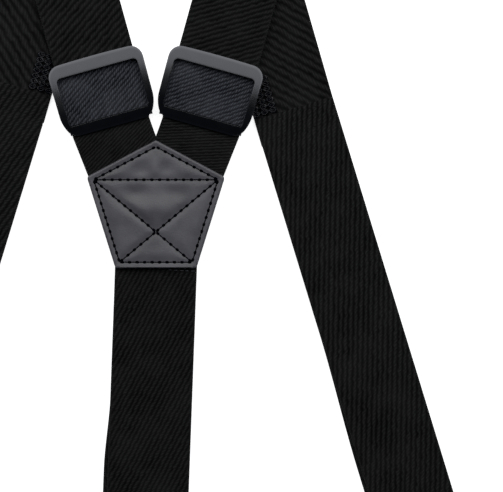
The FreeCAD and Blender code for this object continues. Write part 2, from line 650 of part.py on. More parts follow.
def make_lever(name):
    """Lever: a cover plate with two flanges that turn on the rivets and end in cams."""
    body = new_body(f"{name}_clip_lever")
    cover = rectangle(f"-{rivet_y} - 1", lever_low, f"-{bail_end} - 2.5", lever_high)
    pad_outline(body, "YZ_Plane", "0", cover, f"2 * {lever_half}", True)
    flange = rectangle(f"-{rivet_y} - 1", rivet_z, f"-{rivet_y} + 7", lever_high)
    pad_outline(body, "YZ_Plane", "0", flange, f"2 * {lever_half}", True)
    pad_rod(body, f"-{rivet_y}", rivet_z, boss, f"2 * {lever_half}")
    # The cam reaches from the rivet down to the jaw plate.
    tip_y = f"(-{rivet_y} + Sizes.cam_reach * sin(Sizes.cam_lean))"
    tip_z = f"({rivet_z} - Sizes.cam_reach * cos(Sizes.cam_lean))"
    side_y = "(Sizes.cam_tip * cos(Sizes.cam_lean))"
    side_z = "(Sizes.cam_tip * sin(Sizes.cam_lean))"
    finger = (
        (f"-{rivet_y} - {side_y}", f"{rivet_z} - {side_z}"),
        (f"{tip_y} - {side_y}", f"{tip_z} - {side_z}"),
        (f"{tip_y} + {side_y}", f"{tip_z} + {side_z}"),
        (f"-{rivet_y} + {side_y}", f"{rivet_z} + {side_z}"),
    )
    pad_outline(body, "YZ_Plane", "0", finger, f"2 * {lever_half}", True)
    pad_rod(body, tip_y, tip_z, "Sizes.cam_tip", f"2 * {lever_half}")
    # Only the two flanges are left below the cover plate.
    hollow = rectangle(f"-{clip_end}", "0", f"-{bail_end}", lever_low)
    cut_outline(body, "YZ_Plane", "0", hollow, f"2 * ({lever_half} - Sizes.thin_plate)", True)
    cut_hole(body, f"-{rivet_y}", rivet_z, f"{rivet_radius} + {PIN_ROOM}", "Sizes.clip_width")
    return body


def make_jaw_pin(name):
    body = new_body(f"{name}_clip_jaw_pin")
    pad_rod(body, f"-{jaw_pin_y}", jaw_pin_z, jaw_pin_radius, "Sizes.clip_width + 2 * Sizes.jaw_pin_end")
    return body


def make_rivets(name, placement):
    """Two short rivets, one through each ear and flange, with their heads outside."""
    shank = number(f"{clip_half} - {lever_half} + Sizes.thin_plate + 2 * {PIN_ROOM}")
    edge = number(clip_half)
    radius = number(rivet_radius)
    solids = []
    for side in (1, -1):
        root = V(side * (edge - shank), -number(rivet_y), number(rivet_z))
        outward = V(side, 0, 0)
        rivet = Part.makeCylinder(radius, shank, root, outward)
        head = Part.makeCylinder(1.8 * radius, number("Sizes.rivet_head"), root + outward * shank, outward)
        solids.append(rivet.fuse(head).removeSplitter())
    add_solids(f"{name}_clip_rivets", solids, placement)


def make_clip(name, strap, end, face_up):
    """One clip on the eye of a doubled strap; face_up is False where the lever faces down."""
    eye_height = number(eye_outer)
    eye = strap.multiply(FreeCAD.Placement(V(0, -number(end), eye_height), FreeCAD.Rotation()))
    rise = 0.0 if face_up else number(lever_high) - 2 * eye_height
    tilt = math.degrees(math.asin(rise / number(bail_end)))
    bail_place = eye.multiply(FreeCAD.Placement(V(0, 0, 0), FreeCAD.Rotation(V(1, 0, 0), -tilt)))
    if face_up:
        clip_place = eye.multiply(FreeCAD.Placement(V(0, 0, -eye_height), FreeCAD.Rotation()))
    else:
        drawn_in = number(bail_end) * (1 - math.cos(math.radians(tilt)))
        turned = FreeCAD.Rotation(V(0, 1, 0), 180)
        clip_place = eye.multiply(FreeCAD.Placement(V(0, drawn_in, rise + eye_height), turned))
    make_bail(name).Placement = bail_place
    fixed = [make_back_plate(name), make_jaw(name), make_lever(name), make_jaw_pin(name)]
    fixed.append(make_pad(name, "back_pad", "Sizes.plate", 1))
    fixed.append(make_pad(name, "jaw_pad", jaw_low, -1))
    for body in fixed:
        body.Placement = clip_place
    make_rivets(name, clip_place)


doc.recompute()
make_clip("rear", doc.getObject("rear_strap").Placement, rear_end, True)
make_clip("right", doc.getObject("right_front_strap").Placement, "Sizes.front_length", False)
make_clip("left", doc.getObject("left_front_strap").Placement, "Sizes.front_length", False)
doc.recompute()

os.makedirs("parts", exist_ok=True)
for item in doc.Objects:
    if "Invalid" in item.State or "Error" in item.State:
        raise RuntimeError(f"{item.Label} did not build: {item.State}")
for part in parts:
    if part.Shape.isNull() or not part.Shape.isValid() or not part.Shape.Solids:
        raise RuntimeError(f"{part.Label} has no valid solid")
    part.Shape.exportStep(f"parts/{part.Label}.step")
print(len(parts), "nodes written")
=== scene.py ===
import math

import bmesh
import bpy
from mathutils import Matrix, Vector, noise


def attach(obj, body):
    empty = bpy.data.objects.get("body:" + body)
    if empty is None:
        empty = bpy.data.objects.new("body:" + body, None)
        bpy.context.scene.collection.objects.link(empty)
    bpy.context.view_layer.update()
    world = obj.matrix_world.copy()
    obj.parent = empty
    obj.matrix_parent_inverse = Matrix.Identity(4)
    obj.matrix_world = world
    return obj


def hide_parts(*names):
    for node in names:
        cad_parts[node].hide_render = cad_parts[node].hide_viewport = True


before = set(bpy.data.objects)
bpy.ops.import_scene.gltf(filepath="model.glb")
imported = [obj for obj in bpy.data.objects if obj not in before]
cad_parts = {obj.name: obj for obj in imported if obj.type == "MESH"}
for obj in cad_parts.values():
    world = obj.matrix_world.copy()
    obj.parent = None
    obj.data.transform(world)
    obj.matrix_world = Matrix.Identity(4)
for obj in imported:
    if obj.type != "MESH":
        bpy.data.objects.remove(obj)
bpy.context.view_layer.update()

# ---------------------------------------------------------------- shoulder straps
# Two strips of black woven webbing. Each runs from under the leather patch, up the back through
# its slide, over a fold at the shoulder and down to the seam. Woven twill with bound selvedges.
MM = 0.001
STRAP_WIDTH = 35.0 * MM
STRAP_THICKNESS = 1.3 * MM
HALF_STRAP = STRAP_WIDTH / 2
SLIDE_LEAN = math.radians(15.5)
SLIDE_CENTRE = Vector((22.68, 47.9, 0)) * MM
SLIDE_TO_BEND = 15.6 * MM
BEND = SLIDE_CENTRE - Vector((math.sin(SLIDE_LEAN), math.cos(SLIDE_LEAN), 0)) * SLIDE_TO_BEND
BACK_LEVEL = 4.25 * MM
FOLD_HEIGHT = {1: 108.2 * MM, -1: 118.3 * MM}
FRONT_LEAN = math.radians(16.0)
SEAM_DISTANCE = 70.0 * MM
SEAM_LAP = 12.0 * MM
ARM_LEAN = math.radians(21.9)
ARM_FOOT = Vector((17.0, -25.3, 0)) * MM
ARM_CORNER = Vector((28.8, 11.6, 0)) * MM
ARM_CROTCH = 29.0 * MM
ARM_DRAWN_IN = 1.3 * MM
SELVEDGE = 1.3 * MM
SELVEDGE_FADE = 1.2 * MM
STEP = 4.0 * MM
UP = Vector((0, 0, 1))
SIDE_NAMES = {1: "right", -1: "left"}
# How much finer the ribs lie across the cloth, and coarser along it, in the arm, back and front.
CLOTH_PULL = {
    1: ((1.29, 0.56), (1.04, 0.94), (0.95, 1.71)),
    -1: ((1.29, 0.56), (0.96, 1.12), (0.80, 1.76)),
}


def ease(share):
    """A smooth step from 0 to 1."""
    share = min(1.0, max(0.0, share))
    return share * share * (3 - 2 * share)


def ply_section(width, thickness):
    """Half the outline of one ply, seen from its end, as (across, height) from edge to edge."""
    corner = thickness * 0.46
    rows = 8
    top = []
    for turn in (180, 150, 120, 95):
        angle = math.radians(turn)
        across = -width / 2 + corner + corner * math.cos(angle)
        top.append((across, thickness / 2 - corner + corner * math.sin(angle)))
    flat = width - 2.6 * corner
    for step in range(rows + 1):
        top.append((flat * (step / rows - 0.5), thickness / 2))
    top.extend((-across, height) for across, height in reversed(top[:4]))
    return top


def woven_strap(name, stations, width=STRAP_WIDTH, thickness=STRAP_THICKNESS, droop=0.0):
    """Draws one ply of webbing through its stations: (middle, across, up, run, aside, reach, slant).

    The attribute "weave" keeps each point's place on the cloth: across it, along it, and height.
    run and aside are the middle's place, and reach and slant how that changes across the strap.
    The attribute "edge" goes from 0 in the middle to 1 at the edges, which sink by droop.
    """
    top = ply_section(width, thickness)
    outline = top + [(across, -height) for across, height in reversed(top[1:-1])]
    bm = bmesh.new()
    weave = bm.verts.layers.float_vector.new("weave")
    edge_share = bm.verts.layers.float.new("edge")
    ring = [bm.verts.new((across, height, 0)) for across, height in outline]
    edges = [bm.edges.new(pair) for pair in zip(ring, ring[1:] + ring[:1])]
    ends = [edges]
    for number, (middle, across_way, up_way, run, aside, reach, slant) in enumerate(stations):
        if number:
            grown = set(bmesh.ops.extrude_edge_only(bm, edges=edges)["geom"])
            ring = [
                next(edge.other_vert(vert) for edge in vert.link_edges if edge.other_vert(vert) in grown)
                for vert in ring
            ]
            edges = [bm.edges.get(pair) for pair in zip(ring, ring[1:] + ring[:1])]
        for vert, (across, height) in zip(ring, outline):
            sunk = height - droop * ease((abs(across) - width / 2 + SELVEDGE) / SELVEDGE_FADE)
            vert.co = middle + across_way * across + up_way * sunk
            vert[weave] = (aside + across * reach, run + across * slant, height)
            vert[edge_share] = abs(across) / (width / 2)
    ends.append(edges)
    for end in ends:
        bmesh.ops.contextual_create(bm, geom=end)
    bmesh.ops.recalc_face_normals(bm, faces=bm.faces)
    mesh = bpy.data.meshes.new(name)
    bm.to_mesh(mesh)
    bm.free()
    mesh.shade_smooth()
    strap = bpy.data.objects.new(name, mesh)
    bpy.context.collection.objects.link(strap)
    return strap


def spread(start, end, step=STEP):
    """Shares from 0 to 1 for stations about a step apart."""
    count = max(1, round((end - start).length / step))
    return [number / count for number in range(count + 1)]


def shoulder_stations(side):
    """From the end under the patch to the end under the seam."""
    lean = math.tan(SLIDE_LEAN)
    upward = Vector((side * math.sin(SLIDE_LEAN), math.cos(SLIDE_LEAN), 0))
    right = Vector((upward.y, -upward.x, 0))
    level = UP * BACK_LEVEL
    bend = Vector((side * BEND.x, BEND.y, 0))
    (arm_reach, arm_draw), (back_reach, back_draw), (front_reach, front_draw) = CLOTH_PULL[side]
    # The arm's two edges: along the middle line and then out to the slide's foot.
    inner = [Vector((0, ARM_FOOT.y, 0)), Vector((0, ARM_CROTCH, 0))]
    inner.append(bend - right * side * (HALF_STRAP - ARM_DRAWN_IN))
    outer = [Vector((side * corner.x, corner.y, 0)) for corner in (ARM_FOOT, ARM_CORNER)]
    outer.append(bend + right * side * HALF_STRAP)
    stations = []
    arm_way = Vector((side * math.sin(ARM_LEAN), math.cos(ARM_LEAN), 0))
    arm_right = Vector((arm_way.y, -arm_way.x, 0))
    for part in (0, 1):
        shares = spread(outer[part], outer[part + 1])
        for share in shares[part:]:
            near = inner[part].lerp(inner[part + 1], share)
            far = outer[part].lerp(outer[part + 1], share)
            left_edge, right_edge = (near, far) if side > 0 else (far, near)
            middle = (near + far) / 2
            across = (right_edge - left_edge) / STRAP_WIDTH
            aside = (middle - bend).dot(arm_right)
            run = (middle - bend).dot(arm_way) / arm_draw
            slant = across.dot(arm_way) / arm_draw
            reach = across.dot(arm_right) * arm_reach
            stations.append((middle + level, across, UP, run, aside * arm_reach, reach, slant))
    # The back, up to the fold.
    fold_y = FOLD_HEIGHT[side]
    fold = Vector((bend.x + side * (fold_y - bend.y) * lean, fold_y, 0))
    length = (fold - bend).length
    for share in spread(bend, fold)[1:]:
        if share * length < length - HALF_STRAP * lean:
            middle = bend + upward * length * share + level
            stations.append((middle, right, UP, length * share / back_draw, 0, back_reach, 0))
    # The fold, half a turn at the shoulder.
    fold_across = Vector((1 / math.cos(SLIDE_LEAN), 0, 0))
    centre_height, radius = 2.45 * MM, 1.8 * MM
    turns = 10
    for number in range(turns + 1):
        angle = math.pi * (0.5 - number / turns)
        outward = Vector((0, math.cos(angle), math.sin(angle)))
        middle = fold + UP * centre_height + outward * radius
        run = (length + radius * math.pi * number / turns) / back_draw
        stations.append((middle, fold_across, outward, run, 0, back_reach, side * lean / back_draw))
    # Down the front to the seam, with the cloth's other face up and drawn out longer.
    downward = Vector((side * math.sin(FRONT_LEAN), -math.cos(FRONT_LEAN), 0))
    across = Vector((-downward.y, downward.x, 0))
    reach = SEAM_DISTANCE + SEAM_LAP
    ground = UP * STRAP_THICKNESS / 2
    for share in spread(Vector((0, 0, 0)), downward * reach)[1:]:
        if share * reach > HALF_STRAP * lean:
            middle = fold + downward * reach * share + ground
            stations.append((middle, across, -UP, run + reach * share / front_draw, 0, front_reach, 0))
    return stations


def weave_group():
    """Twill: slanted ribs made of short twisted floats, as a height and a painted shade (darker in the
    grooves, with patchy tone) from 0 to 1.
    """
    group = bpy.data.node_groups.new("twill weave", "ShaderNodeTree")
    face = group.interface
    face.new_socket("Weave", in_out="INPUT", socket_type="NodeSocketVector")
    givens = (
        ("Edge", 0.0), ("Lean", 1.0), ("Rib pitch", 0.002), ("Float length", 0.001), ("Float depth", 0.35)
    )
    for label, value in givens:
        face.new_socket(label, in_out="INPUT", socket_type="NodeSocketFloat").default_value = value
    for label in ("Height", "Painted shade and tone", "Selvedge"):
        face.new_socket(label, in_out="OUTPUT", socket_type="NodeSocketFloat")
    nodes, links = group.nodes, group.links
    given = nodes.new("NodeGroupInput")
    result = nodes.new("NodeGroupOutput")
    rib_wander = 0.8
    yarn_slip = 1.6
    loose_fibre = 0.45
    patchiness = 0.8
    bound_level, bound_depth = 0.72, 0.18
    bound_pitch = 1.1 * MM

    def math_node(kind, first, second=None):
        node = nodes.new("ShaderNodeMath")
        node.operation = kind
        for socket, value in zip(node.inputs, (first, second)):
            if isinstance(value, (int, float)):
                socket.default_value = value
            elif value is not None:
                links.new(value, socket)
        return node.outputs[0]

    fuzz = nodes.new("ShaderNodeTexNoise")
    fuzz.inputs["Scale"].default_value = 420
    fuzz.inputs["Detail"].default_value = 3
    links.new(given.outputs["Weave"], fuzz.inputs["Vector"])
    turned = nodes.new("ShaderNodeVectorRotate")
    turned.rotation_type = "Z_AXIS"
    links.new(given.outputs["Weave"], turned.inputs["Vector"])
    links.new(given.outputs["Lean"], turned.inputs["Angle"])
    apart = nodes.new("ShaderNodeSeparateXYZ")
    links.new(turned.outputs["Vector"], apart.inputs["Vector"])
    wander = math_node("MULTIPLY", math_node("SUBTRACT", fuzz.outputs["Fac"], 0.5), rib_wander)
    rib = math_node("ADD", math_node("DIVIDE", apart.outputs["X"], given.outputs["Rib pitch"]), wander)
    ridge = math_node("SINE", math_node("MULTIPLY", rib, math.tau))
    ridge = math_node("MULTIPLY", math_node("ADD", ridge, 1.0), 0.5)
    yarn = math_node("DIVIDE", apart.outputs["Y"], given.outputs["Float length"])
    yarn = math_node("ADD", yarn, math_node("MULTIPLY", rib, yarn_slip))
    strand = math_node("SINE", math_node("MULTIPLY", yarn, math.tau))
    strand = math_node("MULTIPLY", math_node("ADD", strand, 1.0), 0.5)
    gap = math_node("MULTIPLY", math_node("SUBTRACT", 1.0, strand), given.outputs["Float depth"])
    body = math_node("MULTIPLY", ridge, math_node("SUBTRACT", 1.0, gap))
    rough = math_node("MULTIPLY", fuzz.outputs["Fac"], loose_fibre)
    height = math_node("ADD", body, rough)
    place = nodes.new("ShaderNodeSeparateXYZ")
    links.new(given.outputs["Weave"], place.inputs["Vector"])
    edge = nodes.new("ShaderNodeMapRange")
    edge.inputs["From Min"].default_value = 0.95
    edge.inputs["From Max"].default_value = 0.98
    links.new(given.outputs["Edge"], edge.inputs["Value"])
    # The bound edge: short threads straight across.
    bound = math_node("SINE", math_node("MULTIPLY", place.outputs["Y"], math.tau / bound_pitch))
    bound = math_node("ADD", math_node("MULTIPLY", bound, bound_depth), bound_level)
    mixed = nodes.new("ShaderNodeMix")
    links.new(edge.outputs["Result"], mixed.inputs["Factor"])
    links.new(height, mixed.inputs["A"])
    links.new(bound, mixed.inputs["B"])
    slow = nodes.new("ShaderNodeTexNoise")
    slow.inputs["Scale"].default_value = 60
    links.new(given.outputs["Weave"], slow.inputs["Vector"])
    patchy = math_node("MULTIPLY", math_node("SUBTRACT", slow.outputs["Fac"], 0.5), patchiness)
    links.new(mixed.outputs["Result"], result.inputs["Height"])
    # Painted shade: the colour follows the height, darker in the grooves and between floats; the patches
    # are the cloth's own tone.
    links.new(math_node("ADD", mixed.outputs["Result"], patchy), result.inputs["Painted shade and tone"])
    links.new(edge.outputs["Result"], result.inputs["Selvedge"])
    return group


def webbing_material(name, group, lean, pitch, float_length, dark, light, relief=0.35, depth=0.5):
    """Woven cloth: painted shade makes it dark between the ribs and lighter on them, raised by the weave.
    """
    material = bpy.data.materials.new(name)
    material.use_nodes = True
    nodes, links = material.node_tree.nodes, material.node_tree.links
    shader = nodes["Principled BSDF"]
    place = nodes.new("ShaderNodeAttribute")
    place.attribute_name = "weave"
    cloth = nodes.new("ShaderNodeGroup")
    cloth.node_tree = group
    cloth.inputs["Lean"].default_value = math.radians(lean)
    cloth.inputs["Rib pitch"].default_value = pitch * MM
    cloth.inputs["Float length"].default_value = float_length * MM
    cloth.inputs["Float depth"].default_value = depth
    links.new(place.outputs["Vector"], cloth.inputs["Weave"])
    rim = nodes.new("ShaderNodeAttribute")
    rim.attribute_name = "edge"
    links.new(rim.outputs["Fac"], cloth.inputs["Edge"])
    # Painted shade: the colour runs from dark in the grooves to light on the ribs.
    ramp = nodes.new("ShaderNodeMapRange")
    ramp.inputs["From Min"].default_value = 0.1
    ramp.inputs["From Max"].default_value = 1.15
    links.new(cloth.outputs["Painted shade and tone"], ramp.inputs["Value"])
    colour = nodes.new("ShaderNodeMix")
    colour.data_type = "RGBA"
    colour.inputs["A"].default_value = (*dark, 1)
    colour.inputs["B"].default_value = (*light, 1)
    links.new(ramp.outputs["Result"], colour.inputs["Factor"])
    links.new(colour.outputs["Result"], shader.inputs["Base Color"])
    rough = nodes.new("ShaderNodeMapRange")
    rough.inputs["To Min"].default_value = 0.95
    rough.inputs["To Max"].default_value = 0.68
    links.new(cloth.outputs["Painted shade and tone"], rough.inputs["Value"])
    links.new(rough.outputs["Result"], shader.inputs["Roughness"])
    bump = nodes.new("ShaderNodeBump")
    bump.inputs["Strength"].default_value = 0.8
    bump.inputs["Distance"].default_value = relief * MM
    links.new(cloth.outputs["Height"], bump.inputs["Height"])
    links.new(bump.outputs["Normal"], shader.inputs["Normal"])
    shader.inputs["Specular IOR Level"].default_value = 0.08
    return material


twill = weave_group()
shoulder_webbing = webbing_material(
    "shoulder webbing", twill, 58, 2.1, 1.5, (0.0012, 0.0012, 0.0013), (0.0155, 0.0155, 0.0158)
)
for side, side_name in SIDE_NAMES.items():
    strap = woven_strap(f"{side_name}_back_webbing", shoulder_stations(side))
    strap.data.materials.append(shoulder_webbing)
    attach(strap, "webbing")
    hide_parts(f"{side_name}_shoulder_strap")

# ---------------------------------------------------------------- front straps and rear strap
# Black webbing with a steeper rib. Each is one strip, doubled round the wire bail of its
# clip. The front straps are sewn to the shoulder straps, the rear strap between the leathers.
FRONT_LENGTH = 570.0 * MM
FRONT_TURN = math.radians(17.0)
REAR_TURN = math.radians(-2.1)
EYE_RADIUS = 2.25 * MM
EYE_HEIGHT = 2.9 * MM
UPPER_PLY = 1.95 * MM
LOWER_PLY = 0.65 * MM
EYE_RUN = 11.0 * MM
FRONT_REACH = {1: 1.0, -1: 0.95}
FRONT_PLY_SHIFT = 1.4 * MM
LAP_GAP = 0.6 * MM
REAR_ASIDE = 1.0 * MM
REAR_TOP = 9.6 * MM
REAR_END = -192.3 * MM
REAR_PLY_SHIFT = -1.7 * MM
PATCH_LIFT = 1.0 * MM
PATCH_LIFT_START = -39.3 * MM
PATCH_LIFT_RUN = 11.0 * MM


def doubled_stations(place, start, end, lift, lower_start, shift, reach=1.0):
    """Down the upper ply from start, round the bail at end, and back along the lower ply.

    lift(y) raises both plies, and shift(y) is how far the lower ply lies to one side.
    """
    turn = place.to_3x3()
    across = turn @ Vector((1, 0, 0))
    length = start - end
    count = round(length / STEP)
    stations = []
    for number in range(count):
        y = start - length * number / count
        rise = ease(1 - (y - end) / EYE_RUN) * (EYE_HEIGHT + EYE_RADIUS - UPPER_PLY)
        middle = place @ Vector((0, y, UPPER_PLY + rise + lift(y)))
        stations.append((middle, across, UP, start - y, 0, reach, 0))
    turns = 12
    for number in range(turns + 1):
        angle = math.pi * (0.5 - number / turns)
        outward = turn @ Vector((0, -math.cos(angle), math.sin(angle)))
        middle = place @ Vector((shift(end) * number / turns, end, EYE_HEIGHT)) + outward * EYE_RADIUS
        run = length + EYE_RADIUS * math.pi * number / turns
        stations.append((middle, across, outward, run, 0, reach, 0))
    back = lower_start - end
    count = round(back / STEP)
    for number in range(1, count + 1):
        y = end + back * number / count
        middle = place @ Vector((shift(y), y, LOWER_PLY + lift(y)))
        stations.append((middle, across, -UP, run + y - end, 0, reach, 0))
    return stations


def ply_drift(y, start, grows_over, end, fades_over):
    """The share of its sideways shift that the lower ply has at y: none above start or below end."""
    return ease((start - y) / grows_over) * ease((y - end) / fades_over)


def front_shift(side):
    """The front strap's lower ply shows along the inner side."""
    inward = -side * FRONT_PLY_SHIFT
    return lambda y: inward * ply_drift(y, -95 * MM, 60 * MM, 8 * MM - FRONT_LENGTH, 90 * MM)


def rear_shift(y):
    """The rear strap's lower ply shows along the left side."""
    return REAR_PLY_SHIFT * ply_drift(y, -82 * MM, 32 * MM, -186 * MM, 50 * MM)


def rear_lift(y):
    """The rear strap climbs between the leathers."""
    return PATCH_LIFT * ease((y - PATCH_LIFT_START) / PATCH_LIFT_RUN)


front_webbing = webbing_material(
    "front webbing", twill, -18, 2.13, 1.7, (0.0014, 0.0014, 0.0014), (0.0160, 0.0160, 0.0161)
)
rear_webbing = webbing_material(
    "rear webbing", twill, -25.3, 1.87, 1.5, (0.0012, 0.0012, 0.0013), (0.0168, 0.0168, 0.0170),
    depth=0.65,
)


def seam_middle(side):
    fold_y = FOLD_HEIGHT[side]
    across = SLIDE_CENTRE.x + (fold_y - SLIDE_CENTRE.y) * math.tan(SLIDE_LEAN)
    across += SEAM_DISTANCE * math.sin(FRONT_LEAN)
    return Vector((side * across, fold_y - SEAM_DISTANCE * math.cos(FRONT_LEAN), 0))


for side, side_name in SIDE_NAMES.items():
    place = Matrix.Translation(seam_middle(side)) @ Matrix.Rotation(side * FRONT_TURN, 4, "Z")
    strap = woven_strap(
        f"{side_name}_front_webbing",
        doubled_stations(
            place, 0.0, -FRONT_LENGTH, lambda y: 0.0, -SEAM_LAP - LAP_GAP, front_shift(side),
            FRONT_REACH[side],
        ),
    )
    strap.data.materials.append(front_webbing)
    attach(strap, "webbing")
    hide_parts(f"{side_name}_front_strap")

rear_place = Matrix.Translation((REAR_ASIDE, 0, 0)) @ Matrix.Rotation(REAR_TURN, 4, "Z")
rear_strap = woven_strap(
    "rear_webbing",
    doubled_stations(rear_place, REAR_TOP, REAR_END, rear_lift, REAR_TOP, rear_shift),
)
rear_strap.data.materials.append(rear_webbing)
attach(rear_strap, "webbing")
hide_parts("rear_strap")

# ---------------------------------------------------------------- leather patch
# Two matching five-sided pieces of smooth grey leather, cut with plain edges, with the ends of all
# the straps between them. The stitching draws the front down, so that it puffs up between rows.
PATCH = [
    Vector((-17.3, -27.3, 0)) * MM, Vector((17.3, -27.3, 0)) * MM, Vector((29.5, 11.6, 0)) * MM,
    Vector((0, 27.3, 0)) * MM, Vector((-29.5, 11.6, 0)) * MM,
]
STITCH_MARGIN = 2.5 * MM
STITCH_PITCH = 3.3 * MM
LEATHER_BOTTOM = 4.9 * MM
LEATHER_TOP = 6.3 * MM
CORNER_RADIUS = 1.5 * MM
CUT_ROUNDING = 0.5 * MM
HELD_DOWN = 1.9 * MM
SEWN_GROOVE = 0.7 * MM


def inset_corners(margin):
    """The patch's corners moved in from the cut edge by a margin."""
    lines = []
    for start, end in zip(PATCH, PATCH[1:] + PATCH[:1]):
        way = (end - start).normalized()
        lines.append((start + Vector((-way.y, way.x, 0)) * margin, way))
    corners = []
    for (first, first_way), (second, second_way) in zip(lines[-1:] + lines[:-1], lines):
        bottom = first_way.x * second_way.y - first_way.y * second_way.x
        gap = second - first
        corners.append(first + first_way * ((gap.x * second_way.y - gap.y * second_way.x) / bottom))
    return corners


foot_left, foot_right, top_right, point, top_left = inset_corners(STITCH_MARGIN)
foot_half, top_half = foot_right.x, top_right.x
crossing = foot_left.lerp(top_right, foot_half / (foot_half + top_half))
SEWN_ROWS = [
    (foot_left, foot_right), (foot_right, top_right), (top_right, point), (point, top_left),
    (top_left, foot_left), (top_left, top_right), (foot_left, crossing), (foot_right, crossing),
    (top_left, crossing), (top_right, crossing),
]


def row_distance(spot):
    """How far a spot is from the nearest row of stitches."""
    best = 1.0
    for start, end in SEWN_ROWS:
        way = end - start
        share = min(1.0, max(0.0, (spot - start).dot(way) / way.length_squared))
        best = min(best, (start + way * share - spot).length)
    return best


def edge_distance(spot):
    """How far inside the patch's cut edge a spot is."""
    best = 1.0
    for start, end in zip(PATCH, PATCH[1:] + PATCH[:1]):
        way = (end - start).normalized()
        best = min(best, (spot - start).dot(Vector((-way.y, way.x, 0))))
    return best


# Swells and dents of the sewn front: (x, y, half width, half height, rise), in millimetres.
SWELLS = (
    (-1.5, -2.5, 10, 5.5, 0.75), (-8.0, 4.6, 5.2, 3.6, -0.55), (7.4, 5.0, 6.0, 3.4, -0.42),
    (-0.6, 15.0, 2.2, 4.4, 0.5), (-6.4, 14.6, 4.0, 3.6, -0.55), (4.8, 15.2, 3.4, 3.2, -0.38),
    (1.0, -21.5, 5, 2.5, 0.2), (-16, -3, 5, 7, 0.15), (17, -7, 4, 6, 0.12),
)


def swell(spot):
    """The height of the swells and dents at a spot."""
    total = 0.0
    for x, y, half_width, half_height, rise in SWELLS:
        far = ((spot.x / MM - x) / half_width) ** 2 + ((spot.y / MM - y) / half_height) ** 2
        total += rise * MM * math.exp(-far)
    return total


def leather_panel(name, outer, inner, puff):
    """A five-sided piece of leather. outer is the height of its face and inner of its flesh side."""
    bm = bmesh.new()
    bmesh.ops.create_grid(bm, x_segments=104, y_segments=96, size=30 * MM)
    cuts = []
    for number, corner in enumerate(PATCH):
        before = PATCH[number - 1]
        after = PATCH[(number + 1) % len(PATCH)]
        way_in, way_out = (corner - before).normalized(), (after - corner).normalized()
        cuts.append((corner, Vector((way_out.y, -way_out.x, 0))))
        cut_off = CORNER_RADIUS * (1 / math.cos(way_in.angle(way_out) / 2) - 1) * 0.9
        for share in (0.25, 0.5, 0.75):
            turn = way_in.lerp(way_out, share).normalized()
            normal = Vector((turn.y, -turn.x, 0))
            cuts.append((corner - normal * cut_off, normal))
    for spot, normal in cuts:
        geometry = bm.verts[:] + bm.edges[:] + bm.faces[:]
        bmesh.ops.bisect_plane(bm, geom=geometry, plane_co=spot, plane_no=normal, clear_outer=True)
    bmesh.ops.remove_doubles(bm, verts=bm.verts, dist=0.02 * MM)
    way = 1 if outer > inner else -1
    for vert in bm.verts:
        spot = vert.co.copy()
        height = 0.0
        if puff:
            soft = 1 - math.exp(-((row_distance(spot) / HELD_DOWN) ** 2))
            height += (puff + swell(spot)) * soft
            wave = noise.noise(spot * 95 + Vector((4.2, 1.7, 0.6)))
            wave += 0.5 * noise.noise(spot * 210 + Vector((9.1, 3.3, 2.0)))
            height += puff * 0.5 * wave * soft
            height -= 0.35 * puff * math.exp(-((row_distance(spot) / SEWN_GROOVE) ** 2))
        depth = max(0.0, CUT_ROUNDING - edge_distance(spot))
        height -= CUT_ROUNDING - math.sqrt(max(0.0, CUT_ROUNDING * CUT_ROUNDING - depth * depth))
        vert.co.z = outer + way * height
    border = [edge for edge in bm.edges if edge.is_boundary]
    grown = bmesh.ops.extrude_edge_only(bm, edges=border)["geom"]
    for vert in (item for item in grown if isinstance(item, bmesh.types.BMVert)):
        vert.co.z = inner
    border = [edge for edge in bm.edges if edge.is_boundary]
    bmesh.ops.contextual_create(bm, geom=border)
    bmesh.ops.recalc_face_normals(bm, faces=bm.faces)
    mesh = bpy.data.meshes.new(name)
    bm.to_mesh(mesh)
    bm.free()
    mesh.shade_smooth()
    mesh.set_sharp_from_angle(angle=math.radians(50))
    panel = bpy.data.objects.new(name, mesh)
    bpy.context.collection.objects.link(panel)
    return panel


def leather_material():
    """Smooth grey leather: fine pores, cloudy shading and a slight gloss."""
    material = bpy.data.materials.new("grey leather")
    material.use_nodes = True
    nodes, links = material.node_tree.nodes, material.node_tree.links
    shader = nodes["Principled BSDF"]
    place = nodes.new("ShaderNodeTexCoord")
    cloud = nodes.new("ShaderNodeTexNoise")
    cloud.inputs["Scale"].default_value = 110
    cloud.inputs["Detail"].default_value = 4
    links.new(place.outputs["Object"], cloud.inputs["Vector"])
    pore = nodes.new("ShaderNodeTexVoronoi")
    pore.inputs["Scale"].default_value = 1500
    pore.inputs["Randomness"].default_value = 0.9
    links.new(place.outputs["Object"], pore.inputs["Vector"])
    colour = nodes.new("ShaderNodeValToRGB")
    colour.color_ramp.elements[0].position = 0.3
    colour.color_ramp.elements[0].color = (0.055, 0.054, 0.062, 1)
    colour.color_ramp.elements[1].position = 0.72
    colour.color_ramp.elements[1].color = (0.084, 0.083, 0.094, 1)
    links.new(cloud.outputs["Fac"], colour.inputs["Fac"])
    links.new(colour.outputs["Color"], shader.inputs["Base Color"])
    rough = nodes.new("ShaderNodeMapRange")
    rough.inputs["To Min"].default_value = 0.36
    rough.inputs["To Max"].default_value = 0.5
    links.new(cloud.outputs["Fac"], rough.inputs["Value"])
    links.new(rough.outputs["Result"], shader.inputs["Roughness"])
    bump = nodes.new("ShaderNodeBump")
    bump.inputs["Strength"].default_value = 0.5
    bump.inputs["Distance"].default_value = 0.06 * MM
    links.new(pore.outputs["Distance"], bump.inputs["Height"])
    links.new(bump.outputs["Normal"], shader.inputs["Normal"])
    shader.inputs["Specular IOR Level"].default_value = 0.5
    return material


grey_leather = leather_material()
PANELS = (
    ("leather_front", "patch_front", LEATHER_TOP, LEATHER_BOTTOM, 0.24 * MM),
    ("leather_backing", "patch_backing", 0.0, 1.0 * MM, 0.0),
)
for name, node, outer, inner, puff in PANELS:
    panel = leather_panel(name, outer, inner, puff)
    panel.data.materials.append(grey_leather)
    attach(panel, "webbing")
    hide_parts(node)
